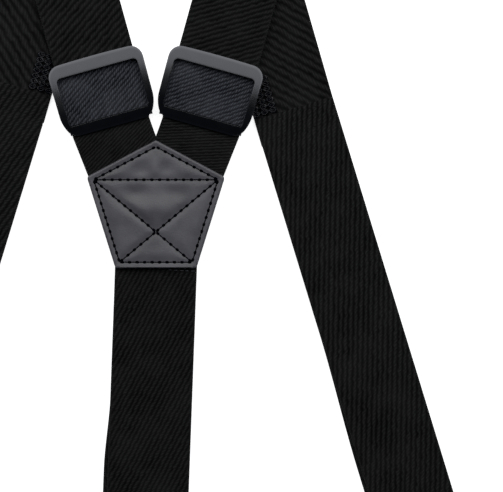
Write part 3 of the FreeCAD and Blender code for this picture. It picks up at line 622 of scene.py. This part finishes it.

# ---------------------------------------------------------------- stitching
# Black thread: round the patch, across it at the shoulders and in an X below, with a needle hole
# at each stitch's ends, coloured darker as painted shade. Two rows also cross each seam of the straps.
THREAD_RADIUS = 0.3 * MM
THREAD_RELIEF = 0.1 * MM
STITCH_HEIGHT = 0.2 * MM
HOLE_SIZE = (0.98 * MM, 0.66 * MM, 0.36 * MM)
ROW_TRIM = 1.1 * MM
SUNK = 0.02 * MM
PALE_COUNT = 5
PALE_START = Vector((6.2, -28.1, 3.6)) * MM
PALE_STEP = Vector((2.4, -0.12, 0)) * MM
PALE_SIZE = (0.95 * MM, 0.2 * MM, 0.14 * MM)
SEAM_ROW_MARGIN = 2.0 * MM
SEAM_THREAD_LEVEL = 2.46 * MM


def twist_group():
    """The twist of spun thread: fine slanting bands from 0 to 1."""
    group = bpy.data.node_groups.new("thread twist", "ShaderNodeTree")
    group.interface.new_socket("Place", in_out="INPUT", socket_type="NodeSocketVector")
    group.interface.new_socket("Twist", in_out="OUTPUT", socket_type="NodeSocketFloat")
    given = group.nodes.new("NodeGroupInput")
    result = group.nodes.new("NodeGroupOutput")
    bands = group.nodes.new("ShaderNodeTexWave")
    bands.inputs["Scale"].default_value = 700
    bands.inputs["Distortion"].default_value = 2.0
    bands.bands_direction = "DIAGONAL"
    group.links.new(given.outputs["Place"], bands.inputs["Vector"])
    group.links.new(bands.outputs["Fac"], result.inputs["Twist"])
    return group


twist = twist_group()


def thread_material(name, colour, roughness, shine):
    """Polyester thread: fine slanting twist lines with painted shade darker between them, and a soft
    sheen.
    """
    material = bpy.data.materials.new(name)
    material.use_nodes = True
    nodes, links = material.node_tree.nodes, material.node_tree.links
    shader = nodes["Principled BSDF"]
    place = nodes.new("ShaderNodeTexCoord")
    spun = nodes.new("ShaderNodeGroup")
    spun.node_tree = twist
    links.new(place.outputs["Object"], spun.inputs["Place"])
    # Painted shade: the troughs of the twist are darkened to 0.55 of the thread's colour.
    tint = nodes.new("ShaderNodeMix")
    tint.data_type = "RGBA"
    tint.inputs["A"].default_value = (*[0.55 * part for part in colour], 1)
    tint.inputs["B"].default_value = (*colour, 1)
    links.new(spun.outputs["Twist"], tint.inputs["Factor"])
    links.new(tint.outputs["Result"], shader.inputs["Base Color"])
    bump = nodes.new("ShaderNodeBump")
    bump.inputs["Distance"].default_value = THREAD_RELIEF
    links.new(spun.outputs["Twist"], bump.inputs["Height"])
    links.new(bump.outputs["Normal"], shader.inputs["Normal"])
    shader.inputs["Roughness"].default_value = roughness
    shader.inputs["Specular IOR Level"].default_value = shine
    return material


black_thread = thread_material("black thread", (0.0045, 0.005, 0.008), 0.8, 0.1)
# Painted shade: the thread where it sinks into its needle holes is coloured darker and duller than the
# rest.
hole_shade_thread = thread_material("sunk thread with painted hole shade", (0.0012, 0.0015, 0.003), 0.95, 0.02)
pale_thread = thread_material("pale thread", (0.10, 0.10, 0.11), 0.7, 0.2)
seam_thread = thread_material("seam thread", (0.0085, 0.0085, 0.0085), 0.95, 0.03)


def small_ball(name, sides, rings, slot_index):
    """A ball of radius 1 with few faces, to be stretched into a stitch or a hole."""
    bm = bmesh.new()
    bmesh.ops.create_uvsphere(bm, u_segments=sides, v_segments=rings, radius=1)
    for face in bm.faces:
        face.material_index = slot_index
    mesh = bpy.data.meshes.new(name)
    bm.to_mesh(mesh)
    bm.free()
    return mesh


def stamp(bm, mesh, place):
    """Adds a copy of a small mesh at its place."""
    copy = mesh.copy()
    copy.transform(place)
    bm.from_mesh(copy)
    bpy.data.meshes.remove(copy)


stitch_shape = small_ball("stitch", 6, 6, 0)
hole_shape = small_ball("needle hole", 8, 5, 1)
pale_shape = small_ball("pale stitch", 6, 6, 2)


def sew(bm, start, end, height, holes=True):
    """One row of stitches from start to end at a height, with needle holes between them."""
    way = (end - start).normalized()
    start, end = start + way * ROW_TRIM, end - way * ROW_TRIM
    line = end - start
    count = max(2, round(line.length / STITCH_PITCH))
    turn = Matrix.Rotation(math.atan2(line.y, line.x), 4, "Z")
    stitch_size = Matrix.Diagonal((0.5 * line.length / count, THREAD_RADIUS, STITCH_HEIGHT, 1))
    hole_size = Matrix.Diagonal((*HOLE_SIZE, 1))
    for number in range(count):
        middle = start + line * ((number + 0.5) / count) + UP * height
        stamp(bm, stitch_shape, Matrix.Translation(middle) @ turn @ stitch_size)
    for number in range(count + 1 if holes else 0):
        middle = start + line * (number / count) + UP * height
        stamp(bm, hole_shape, Matrix.Translation(middle) @ turn @ hole_size)


def finish_stitches(bm, name, materials):
    """Makes the sewn mesh a piece that rides on the webbing."""
    mesh = bpy.data.meshes.new(name)
    bm.to_mesh(mesh)
    bm.free()
    mesh.shade_smooth()
    stitches = bpy.data.objects.new(name, mesh)
    bpy.context.collection.objects.link(stitches)
    for material in materials:
        mesh.materials.append(material)
    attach(stitches, "webbing")
    return stitches


bm = bmesh.new()
for start, end in SEWN_ROWS:
    sew(bm, start, end, LEATHER_TOP - SUNK)
# A short row of paler thread shows on the rear strap, just below the leather.
for number in range(PALE_COUNT):
    middle = PALE_START + PALE_STEP * number
    stamp(bm, pale_shape, Matrix.Translation(middle) @ Matrix.Diagonal((*PALE_SIZE, 1)))
patch_stitches = finish_stitches(bm, "patch_thread", (black_thread, hole_shade_thread, pale_thread))
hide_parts("patch_stitching")

for side, side_name in SIDE_NAMES.items():
    place = Matrix.Translation(seam_middle(side)) @ Matrix.Rotation(side * FRONT_TURN, 4, "Z")
    bm = bmesh.new()
    for down in (SEAM_ROW_MARGIN, SEAM_LAP - SEAM_ROW_MARGIN):
        start = place @ Vector((-HALF_STRAP + SEAM_ROW_MARGIN, -down, 0))
        end = place @ Vector((HALF_STRAP - SEAM_ROW_MARGIN, -down, 0))
        sew(bm, start, end, SEAM_THREAD_LEVEL, holes=False)
    seam = finish_stitches(bm, f"{side_name}_seam_stitches", (seam_thread,))
    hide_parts(f"{side_name}_seam_thread")

# ---------------------------------------------------------------- overlocked edges
# The shoulder strap's inner edge above each seam is wrapped with thick glossy thread: twisted
# rungs across the edge, each caught down by a few loops.
RUNG_LENGTH = 10.5 * MM
RUNG_PITCH = 2.35 * MM
RUNGS = 7
FIRST_RUNG = 1.8 * MM
RUNG_RISE = 0.7 * MM
CORD_RADIUS = 0.36 * MM
LOOP_COLUMNS = (0.15, 0.5, 0.85)
LOOP_RISE = 0.25 * MM


def twisted_thread(name, turns):
    """Two strands wound round each other, from the origin to Z = 1, at a radius of 1."""
    bm = bmesh.new()
    steps = turns * 8
    for phase in (0, math.pi):
        place = Matrix.Rotation(phase, 4, "Z") @ Matrix.Translation((0.8, 0, 0))
        made = bmesh.ops.create_circle(bm, segments=6, radius=1, matrix=place)
        bmesh.ops.spin(
            bm, geom=list({edge for vert in made["verts"] for edge in vert.link_edges}),
            cent=(0, 0, 0), axis=(0, 0, 1), dvec=(0, 0, 1 / steps), angle=turns * math.tau,
            steps=steps, use_merge=False,
        )
    bmesh.ops.holes_fill(bm, edges=[edge for edge in bm.edges if edge.is_boundary])
    bmesh.ops.recalc_face_normals(bm, faces=bm.faces)
    mesh = bpy.data.meshes.new(name)
    bm.to_mesh(mesh)
    bm.free()
    return mesh


def lay_thread(bm, shape, start, end, strand):
    """Stretches a twisted thread between two points."""
    way = end - start
    turn = way.to_track_quat("Z", "Y").to_matrix().to_4x4()
    stamp(bm, shape, Matrix.Translation(start) @ turn @ Matrix.Diagonal((strand, strand, way.length, 1)))


def thread_loop(name):
    """A closed loop of thread lying flat, of radius 1."""
    bm = bmesh.new()
    place = Matrix.Translation((1, 0, 0)) @ Matrix.Rotation(math.pi / 2, 4, "X")
    made = bmesh.ops.create_circle(bm, segments=7, radius=0.36, matrix=place)
    bmesh.ops.spin(
        bm, geom=list({edge for vert in made["verts"] for edge in vert.link_edges}),
        cent=(0, 0, 0), axis=(0, 0, 1), angle=math.tau, steps=14, use_merge=True,
    )
    bmesh.ops.recalc_face_normals(bm, faces=bm.faces)
    mesh = bpy.data.meshes.new(name)
    bm.to_mesh(mesh)
    bm.free()
    return mesh


rung_shape = twisted_thread("rung", 4)
loop_shape = thread_loop("loop")
loop_size = Matrix.Diagonal((1.3 * MM, 0.95 * MM, 0.95 * MM, 1))
rung_thread = thread_material("overlock thread", (0.0012, 0.0016, 0.0045), 0.3, 0.22)
for side, side_name in SIDE_NAMES.items():
    place = Matrix.Translation(seam_middle(side)) @ Matrix.Rotation(side * FRONT_LEAN, 4, "Z")
    turn = Matrix.Rotation(side * FRONT_LEAN, 4, "Z")
    bm = bmesh.new()
    inner_edge = -side * HALF_STRAP
    level = STRAP_THICKNESS + RUNG_RISE
    for rung in range(RUNGS):
        y = FIRST_RUNG + RUNG_PITCH * rung
        start = place @ Vector((inner_edge, y, level))
        end = place @ Vector((inner_edge + side * RUNG_LENGTH, y, level))
        lay_thread(bm, rung_shape, start, end, CORD_RADIUS)
        for column in LOOP_COLUMNS:
            middle = start.lerp(end, column) + UP * LOOP_RISE
            stamp(bm, loop_shape, Matrix.Translation(middle) @ turn @ loop_size)
    edge_wrap = finish_stitches(bm, f"{side_name}_overlock", (rung_thread,))
    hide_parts(f"{side_name}_overlocked_edge")

# ---------------------------------------------------------------- slides
# Cast metal slides in dark satin gunmetal, slightly curved from top to bottom, with a broad top
# bar, sides that draw in towards the foot, and a round centre bar that the webbing passes over.
SLIDE_OUTLINE = (
    (17.0, -15.5, 2.9), (20.5, -9.8, 3.6), (20.8, 15.6, 5.2),
    (-20.8, 15.6, 5.2), (-20.5, -9.8, 3.6), (-17.0, -15.5, 2.9),
)
WINDOW_OUTLINE = (
    (17.6, -11.0, 1.0), (17.72, -3.0, 1.5), (17.8, 10.1, 1.9),
    (-17.8, 10.1, 1.9), (-17.72, -3.0, 1.5), (-17.6, -11.0, 1.0),
)
SLIDE_TOP = 9.6 * MM
SIDE_DEPTH = 4.2 * MM
BAR_DEPTH = 2.0 * MM
SLIDE_CURVE = 9.0
SLIDE_CREST = 3.5 * MM
SLIDE_HALF = 21.15 * MM
SIDE_INNER = 17.3 * MM
TOP_BAR_FOOT = 9.9 * MM
TOP_BAR_HEIGHT = 6.0 * MM
TOP_BAR_BOW = 0.5 * MM
# Painted highlight: beyond these distances from the middle (side, top, foot) the frame's rim is coloured
# brighter.
RIM_HIGHLIGHT_FROM = (18.0 * MM, 10.5 * MM, 12.0 * MM)
LONG_EDGE = 3.0 * MM
BAR_LEVEL = 5.8 * MM
BAR_RADIUS = 0.6 * MM
BAR_LENGTH = 38.0 * MM
METAL_GRAIN = 0.02 * MM


def rounded_loop(bm, outline):
    """A face with the outline's corners, each rounded by its radius."""
    bm.faces.new([bm.verts.new((x * MM, y * MM, 0)) for x, y, _ in outline])
    for x, y, radius in outline:
        corner = min(bm.verts, key=lambda vert: (vert.co - Vector((x, y, 0)) * MM).length)
        bmesh.ops.bevel(
            bm, geom=[corner], offset=radius * MM, offset_type="OFFSET", affect="VERTICES",
            segments=6, profile=0.5, material=-1, clamp_overlap=True,
        )


def slide_place(side):
    """Where a slide lies on its strap."""
    centre = Vector((side * SLIDE_CENTRE.x, SLIDE_CENTRE.y, 0))
    return Matrix.Translation(centre) @ Matrix.Rotation(-side * SLIDE_LEAN, 4, "Z")


def slide_frame(side):
    """The flat ring between the two outlines, curved, ready for its thickness and rounding."""
    bm = bmesh.new()
    loops = []
    for outline in (SLIDE_OUTLINE, WINDOW_OUTLINE):
        part = bmesh.new()
        rounded_loop(part, outline)
        mesh = bpy.data.meshes.new("outline")
        part.to_mesh(mesh)
        part.free()
        before = set(bm.edges)
        bm.from_mesh(mesh)
        bpy.data.meshes.remove(mesh)
        loops.extend(edge for edge in bm.edges if edge not in before)
    bmesh.ops.delete(bm, geom=bm.faces[:], context="FACES_ONLY")
    # Painted highlight: verts along the outer rim are marked to be coloured brighter, standing in for the
    # light the rounded rim catches.
    painted_rim_highlight = bm.verts.layers.float.new("painted_rim_highlight")
    highlight_side, highlight_top, highlight_foot = RIM_HIGHLIGHT_FROM
    for vert in bm.verts:
        x, y = abs(vert.co.x), vert.co.y
        vert[painted_rim_highlight] = float(x > highlight_side or y > highlight_top or -y > highlight_foot)
    ring = bmesh.ops.bridge_loops(bm, edges=loops)
    bmesh.ops.subdivide_edges(bm, edges=ring["edges"], cuts=5, use_grid_fill=True)
    long_edges = [edge for edge in bm.edges if edge.calc_length() > LONG_EDGE]
    bmesh.ops.subdivide_edges(bm, edges=long_edges, cuts=7, use_grid_fill=True)
    for vert in bm.verts:
        bow = TOP_BAR_BOW * (1 - (vert.co.x / SLIDE_HALF) ** 2)
        if vert.co.y > TOP_BAR_FOOT:
            vert.co.y += bow * (vert.co.y - TOP_BAR_FOOT) / TOP_BAR_HEIGHT
        vert.co.z = SLIDE_TOP - SLIDE_CURVE * (vert.co.y - SLIDE_CREST) ** 2
    depth = bm.verts.layers.deform.verify()
    for vert in bm.verts:
        vert[depth][0] = 1.0 if abs(vert.co.x) > SIDE_INNER else BAR_DEPTH / SIDE_DEPTH
    bmesh.ops.recalc_face_normals(bm, faces=bm.faces)
    if sum(face.normal.z for face in bm.faces) < 0:
        bmesh.ops.reverse_faces(bm, faces=bm.faces)
    bmesh.ops.transform(bm, matrix=slide_place(side), verts=bm.verts)
    mesh = bpy.data.meshes.new(f"{SIDE_NAMES[side]}_slide_frame")
    bm.to_mesh(mesh)
    bm.free()
    mesh.shade_smooth()
    slide = bpy.data.objects.new(mesh.name, mesh)
    bpy.context.collection.objects.link(slide)
    slide.vertex_groups.new(name="depth")
    wall = slide.modifiers.new("thickness", "SOLIDIFY")
    wall.thickness = SIDE_DEPTH
    wall.vertex_group = "depth"
    wall.offset = -1
    bevel = slide.modifiers.new("rounded edges", "BEVEL")
    bevel.width = 0.6 * MM
    bevel.segments = 4
    bevel.limit_method = "ANGLE"
    bevel.angle_limit = math.radians(40)
    return slide


def satin_group():
    """The finish of tumbled and plated metal: cloudy smudges, fine grain, and a painted highlight along
    the outer rim.
    """
    group = bpy.data.node_groups.new("satin finish and rim highlight", "ShaderNodeTree")
    face = group.interface
    face.new_socket("Place", in_out="INPUT", socket_type="NodeSocketVector")
    face.new_socket("Rim highlight mask", in_out="INPUT", socket_type="NodeSocketFloat")
    for label in ("Smudge", "Grain", "Rim highlight"):
        face.new_socket(label, in_out="OUTPUT", socket_type="NodeSocketFloat")
    nodes, links = group.nodes, group.links
    given = nodes.new("NodeGroupInput")
    result = nodes.new("NodeGroupOutput")
    smudge = nodes.new("ShaderNodeTexNoise")
    smudge.inputs["Scale"].default_value = 180
    smudge.inputs["Detail"].default_value = 5
    links.new(given.outputs["Place"], smudge.inputs["Vector"])
    links.new(smudge.outputs["Fac"], result.inputs["Smudge"])
    fine = nodes.new("ShaderNodeTexNoise")
    fine.inputs["Scale"].default_value = 5200
    links.new(given.outputs["Place"], fine.inputs["Vector"])
    links.new(fine.outputs["Fac"], result.inputs["Grain"])
    # Painted highlight: the marked rim is brightened.
    rim_highlight = nodes.new("ShaderNodeMapRange")
    rim_highlight.inputs["From Min"].default_value = 0.75
    rim_highlight.inputs["To Max"].default_value = 0.5
    links.new(given.outputs["Rim highlight mask"], rim_highlight.inputs["Value"])
    links.new(rim_highlight.outputs["Result"], result.inputs["Rim highlight"])
    return group


satin = satin_group()


def metal_material(name, colour, roughness):
    """Dark plated metal: fine satin grain, faint smudges, and a painted highlight that makes the outer rim
    a little brighter.
    """
    material = bpy.data.materials.new(name)
    material.use_nodes = True
    nodes, links = material.node_tree.nodes, material.node_tree.links
    shader = nodes["Principled BSDF"]
    place = nodes.new("ShaderNodeTexCoord")
    rim_mask = nodes.new("ShaderNodeAttribute")
    rim_mask.attribute_name = "painted_rim_highlight"
    finish = nodes.new("ShaderNodeGroup")
    finish.node_tree = satin
    links.new(place.outputs["Object"], finish.inputs["Place"])
    links.new(rim_mask.outputs["Fac"], finish.inputs["Rim highlight mask"])
    tint = nodes.new("ShaderNodeMix")
    tint.data_type = "RGBA"
    tint.inputs["A"].default_value = (*[0.85 * part for part in colour], 1)
    tint.inputs["B"].default_value = (*[1.15 * part for part in colour], 1)
    links.new(finish.outputs["Smudge"], tint.inputs["Factor"])
    # Painted highlight: the outer rim is mixed towards 2.2 times the colour.
    bright = nodes.new("ShaderNodeMix")
    bright.data_type = "RGBA"
    bright.inputs["B"].default_value = (*[2.2 * part for part in colour], 1)
    links.new(finish.outputs["Rim highlight"], bright.inputs["Factor"])
    links.new(tint.outputs["Result"], bright.inputs["A"])
    links.new(bright.outputs["Result"], shader.inputs["Base Color"])
    rough = nodes.new("ShaderNodeMapRange")
    rough.inputs["To Min"].default_value = roughness - 0.06
    rough.inputs["To Max"].default_value = roughness + 0.08
    links.new(finish.outputs["Smudge"], rough.inputs["Value"])
    links.new(rough.outputs["Result"], shader.inputs["Roughness"])
    bump = nodes.new("ShaderNodeBump")
    bump.inputs["Strength"].default_value = 0.25
    bump.inputs["Distance"].default_value = METAL_GRAIN
    links.new(finish.outputs["Grain"], bump.inputs["Height"])
    links.new(bump.outputs["Normal"], shader.inputs["Normal"])
    shader.inputs["Metallic"].default_value = 1.0
    return material


gunmetal = metal_material("satin gunmetal", (0.042, 0.043, 0.046), 0.27)


def centre_bar(side):
    """The round bar under the webbing, with its ends inside the side bars."""
    bm = bmesh.new()
    turn = slide_place(side) @ Matrix.Translation((0, 0, BAR_LEVEL)) @ Matrix.Rotation(math.pi / 2, 4, "Y")
    bmesh.ops.create_cone(
        bm, cap_ends=True, segments=24, radius1=BAR_RADIUS, radius2=BAR_RADIUS, depth=BAR_LENGTH,
        matrix=turn,
    )
    caps = [edge for edge in bm.edges if edge.calc_face_angle(0) > 1]
    bmesh.ops.bevel(bm, geom=caps, offset=0.2 * MM, segments=2, profile=0.5, affect="EDGES", material=-1)
    mesh = bpy.data.meshes.new(f"{SIDE_NAMES[side]}_slide_bar")
    bm.to_mesh(mesh)
    bm.free()
    mesh.shade_smooth()
    bar = bpy.data.objects.new(mesh.name, mesh)
    bpy.context.collection.objects.link(bar)
    return bar


for side, side_name in SIDE_NAMES.items():
    for piece in (slide_frame(side), centre_bar(side)):
        piece.data.materials.append(gunmetal)
        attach(piece, f"{side_name}_slide")
        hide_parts(f"{side_name}_slide")

# ---------------------------------------------------------------- webbing in the slides
# The ply that passes over each centre bar and fills the window. It is pulled tight, which opens
# its finer, rope-like ribs and shows them greyer than the rest.
COVER_WIDTH = 36.2 * MM
COVER_THICKNESS = 0.9 * MM
COVER_HALF = 14.6 * MM
COVER_DROOP = 0.7 * MM
COVER_LEVEL = 5.35 * MM
COVER_RISE = 1.3 * MM
COVER_REACH = 0.93
window_webbing = webbing_material(
    "window webbing", twill, 53.4, 1.56, 1.35, (0.0032, 0.0038, 0.0058), (0.074, 0.080, 0.094),
    0.4, 0.8
)
for side, side_name in SIDE_NAMES.items():
    place = slide_place(side)
    across = place.to_3x3() @ Vector((1, 0, 0))
    stations = []
    count = 24
    for number in range(count + 1):
        share = number / count * 2 - 1
        lift = math.cos(share * math.pi / 2) ** 2
        middle = place @ Vector((0, COVER_HALF * share, COVER_LEVEL + COVER_RISE * lift))
        stations.append((middle, across, UP, COVER_HALF * share, 0, COVER_REACH, 0))
    name = f"{side_name}_window_webbing"
    cover = woven_strap(name, stations, COVER_WIDTH, COVER_THICKNESS, COVER_DROOP)
    cover.data.materials.append(window_webbing)
    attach(cover, f"{side_name}_slide")
    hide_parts(f"{side_name}_slide_webbing")

# ---------------------------------------------------------------- clips
# Three lever clips of pressed and plated steel on wire bails. Every edge is tumbled smooth before
# plating. The jaws close on ridged black plastic pads.
CLIP_PARTS = (
    ("clip_bail", "bail", 0.0), ("clip_back", "clip", 0.14), ("clip_jaw_pin", "clip", 0.1),
    ("clip_rivets", "clip", 0.12), ("clip_jaw", "jaw", 0.12), ("clip_lever", "lever", 0.12),
    ("clip_back_pad", "clip", 0.08), ("clip_jaw_pad", "jaw", 0.08),
)
clip_metal = metal_material("plated clip steel", (0.11, 0.11, 0.115), 0.28)


def pad_material():
    """Moulded black plastic: fine mould texture and a dull sheen."""
    material = bpy.data.materials.new("clip pad plastic")
    material.use_nodes = True
    nodes, links = material.node_tree.nodes, material.node_tree.links
    shader = nodes["Principled BSDF"]
    place = nodes.new("ShaderNodeTexCoord")
    grain = nodes.new("ShaderNodeTexNoise")
    grain.inputs["Scale"].default_value = 2600
    links.new(place.outputs["Object"], grain.inputs["Vector"])
    tint = nodes.new("ShaderNodeMapRange")
    tint.inputs["To Min"].default_value = 0.010
    tint.inputs["To Max"].default_value = 0.020
    links.new(grain.outputs["Fac"], tint.inputs["Value"])
    links.new(tint.outputs["Result"], shader.inputs["Base Color"])
    rough = nodes.new("ShaderNodeMapRange")
    rough.inputs["To Min"].default_value = 0.5
    rough.inputs["To Max"].default_value = 0.7
    links.new(grain.outputs["Fac"], rough.inputs["Value"])
    links.new(rough.outputs["Result"], shader.inputs["Roughness"])
    bump = nodes.new("ShaderNodeBump")
    bump.inputs["Strength"].default_value = 0.3
    bump.inputs["Distance"].default_value = 0.05 * MM
    links.new(grain.outputs["Fac"], bump.inputs["Height"])
    links.new(bump.outputs["Normal"], shader.inputs["Normal"])
    return material


pad_plastic = pad_material()
for clip in ("rear", "left", "right"):
    for part, body, rounding in CLIP_PARTS:
        node = f"{clip}_{part}"
        bm = bmesh.new()
        bm.from_mesh(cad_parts[node].data)
        bmesh.ops.remove_doubles(bm, verts=bm.verts, dist=0.001 * MM)
        bmesh.ops.dissolve_limit(
            bm, angle_limit=math.radians(1), verts=bm.verts, edges=bm.edges, delimit={"NORMAL"}
        )
        mesh = bpy.data.meshes.new(f"{clip}_{part}_finished")
        bm.to_mesh(mesh)
        bm.free()
        mesh.shade_smooth()
        mesh.set_sharp_from_angle(angle=math.radians(35))
        piece = bpy.data.objects.new(mesh.name, mesh)
        bpy.context.collection.objects.link(piece)
        if rounding:
            bevel = piece.modifiers.new("tumbled edges", "BEVEL")
            bevel.width = rounding * MM
            bevel.segments = 2
            bevel.limit_method = "ANGLE"
            bevel.angle_limit = math.radians(40)
            bevel.harden_normals = True
        is_pad = part.endswith("pad")
        mesh.materials.append(pad_plastic if is_pad else clip_metal)
        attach(piece, f"{clip}_{body}")
        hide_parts(node)

# ---------------------------------------------------------------- floor, light and camera
# A white lit table under everything, one large soft light over the shoulder end, and a camera
# looking straight down at the patch and slides.
FLOOR_LEVEL = -0.2 * MM
LAMP_PLACE = Vector((0.04, 0.56, 0.9))
LAMP_AIM = Vector((0, 0.56, 0.9))
SENSOR = 36.0
bm = bmesh.new()
floor_place = Matrix.Translation((0, 0, FLOOR_LEVEL))
bmesh.ops.create_grid(bm, x_segments=4, y_segments=4, size=4.0, matrix=floor_place)
mesh = bpy.data.meshes.new("floor")
bm.to_mesh(mesh)
bm.free()
floor = bpy.data.objects.new("floor", mesh)
bpy.context.collection.objects.link(floor)
white = bpy.data.materials.new("white table")
white.use_nodes = True
table_shader = white.node_tree.nodes["Principled BSDF"]
table_shader.inputs["Base Color"].default_value = (0.9, 0.9, 0.9, 1)
table_shader.inputs["Roughness"].default_value = 0.9
table_shader.inputs["Specular IOR Level"].default_value = 0.1
table_shader.inputs["Emission Color"].default_value = (1, 1, 1, 1)
table_shader.inputs["Emission Strength"].default_value = 0.8
mesh.materials.append(white)

lamp = bpy.data.lights.new("softbox", "AREA")
lamp.shape = "RECTANGLE"
lamp.size, lamp.size_y = 1.8, 0.9
lamp.energy = 13.5
softbox = bpy.data.objects.new("softbox", lamp)
softbox.location = LAMP_PLACE
softbox.rotation_euler = LAMP_AIM.to_track_quat("Z", "Y").to_euler()
softbox.visible_camera = False
bpy.context.collection.objects.link(softbox)

world = bpy.data.worlds.new("studio")
world.use_nodes = True
tree = world.node_tree
dim = tree.nodes["Background"]
dim.inputs["Color"].default_value = (0.75, 0.9, 1.2, 1)
dim.inputs["Strength"].default_value = 0.05
pale = tree.nodes.new("ShaderNodeBackground")
pale.inputs["Color"].default_value = (1, 1, 1, 1)
pale.inputs["Strength"].default_value = 0.95
seen = tree.nodes.new("ShaderNodeLightPath")
blend = tree.nodes.new("ShaderNodeMixShader")
tree.links.new(seen.outputs["Is Camera Ray"], blend.inputs["Fac"])
tree.links.new(dim.outputs["Background"], blend.inputs[1])
tree.links.new(pale.outputs["Background"], blend.inputs[2])
tree.links.new(blend.outputs["Shader"], tree.nodes["World Output"].inputs["Surface"])
bpy.context.scene.world = world
bpy.context.scene.view_settings.view_transform = "Standard"

VIEW_CENTRE = Vector((40.8, -17.9, 3.0)) * MM
VIEW_WIDTH = 214.8 * MM
LENS = 400.0
lens = bpy.data.cameras.new("camera")
lens.lens = LENS
lens.sensor_width = SENSOR
camera = bpy.data.objects.new("camera", lens)
camera.location = VIEW_CENTRE + UP * VIEW_WIDTH * LENS / SENSOR
bpy.context.collection.objects.link(camera)
bpy.context.scene.camera = camera
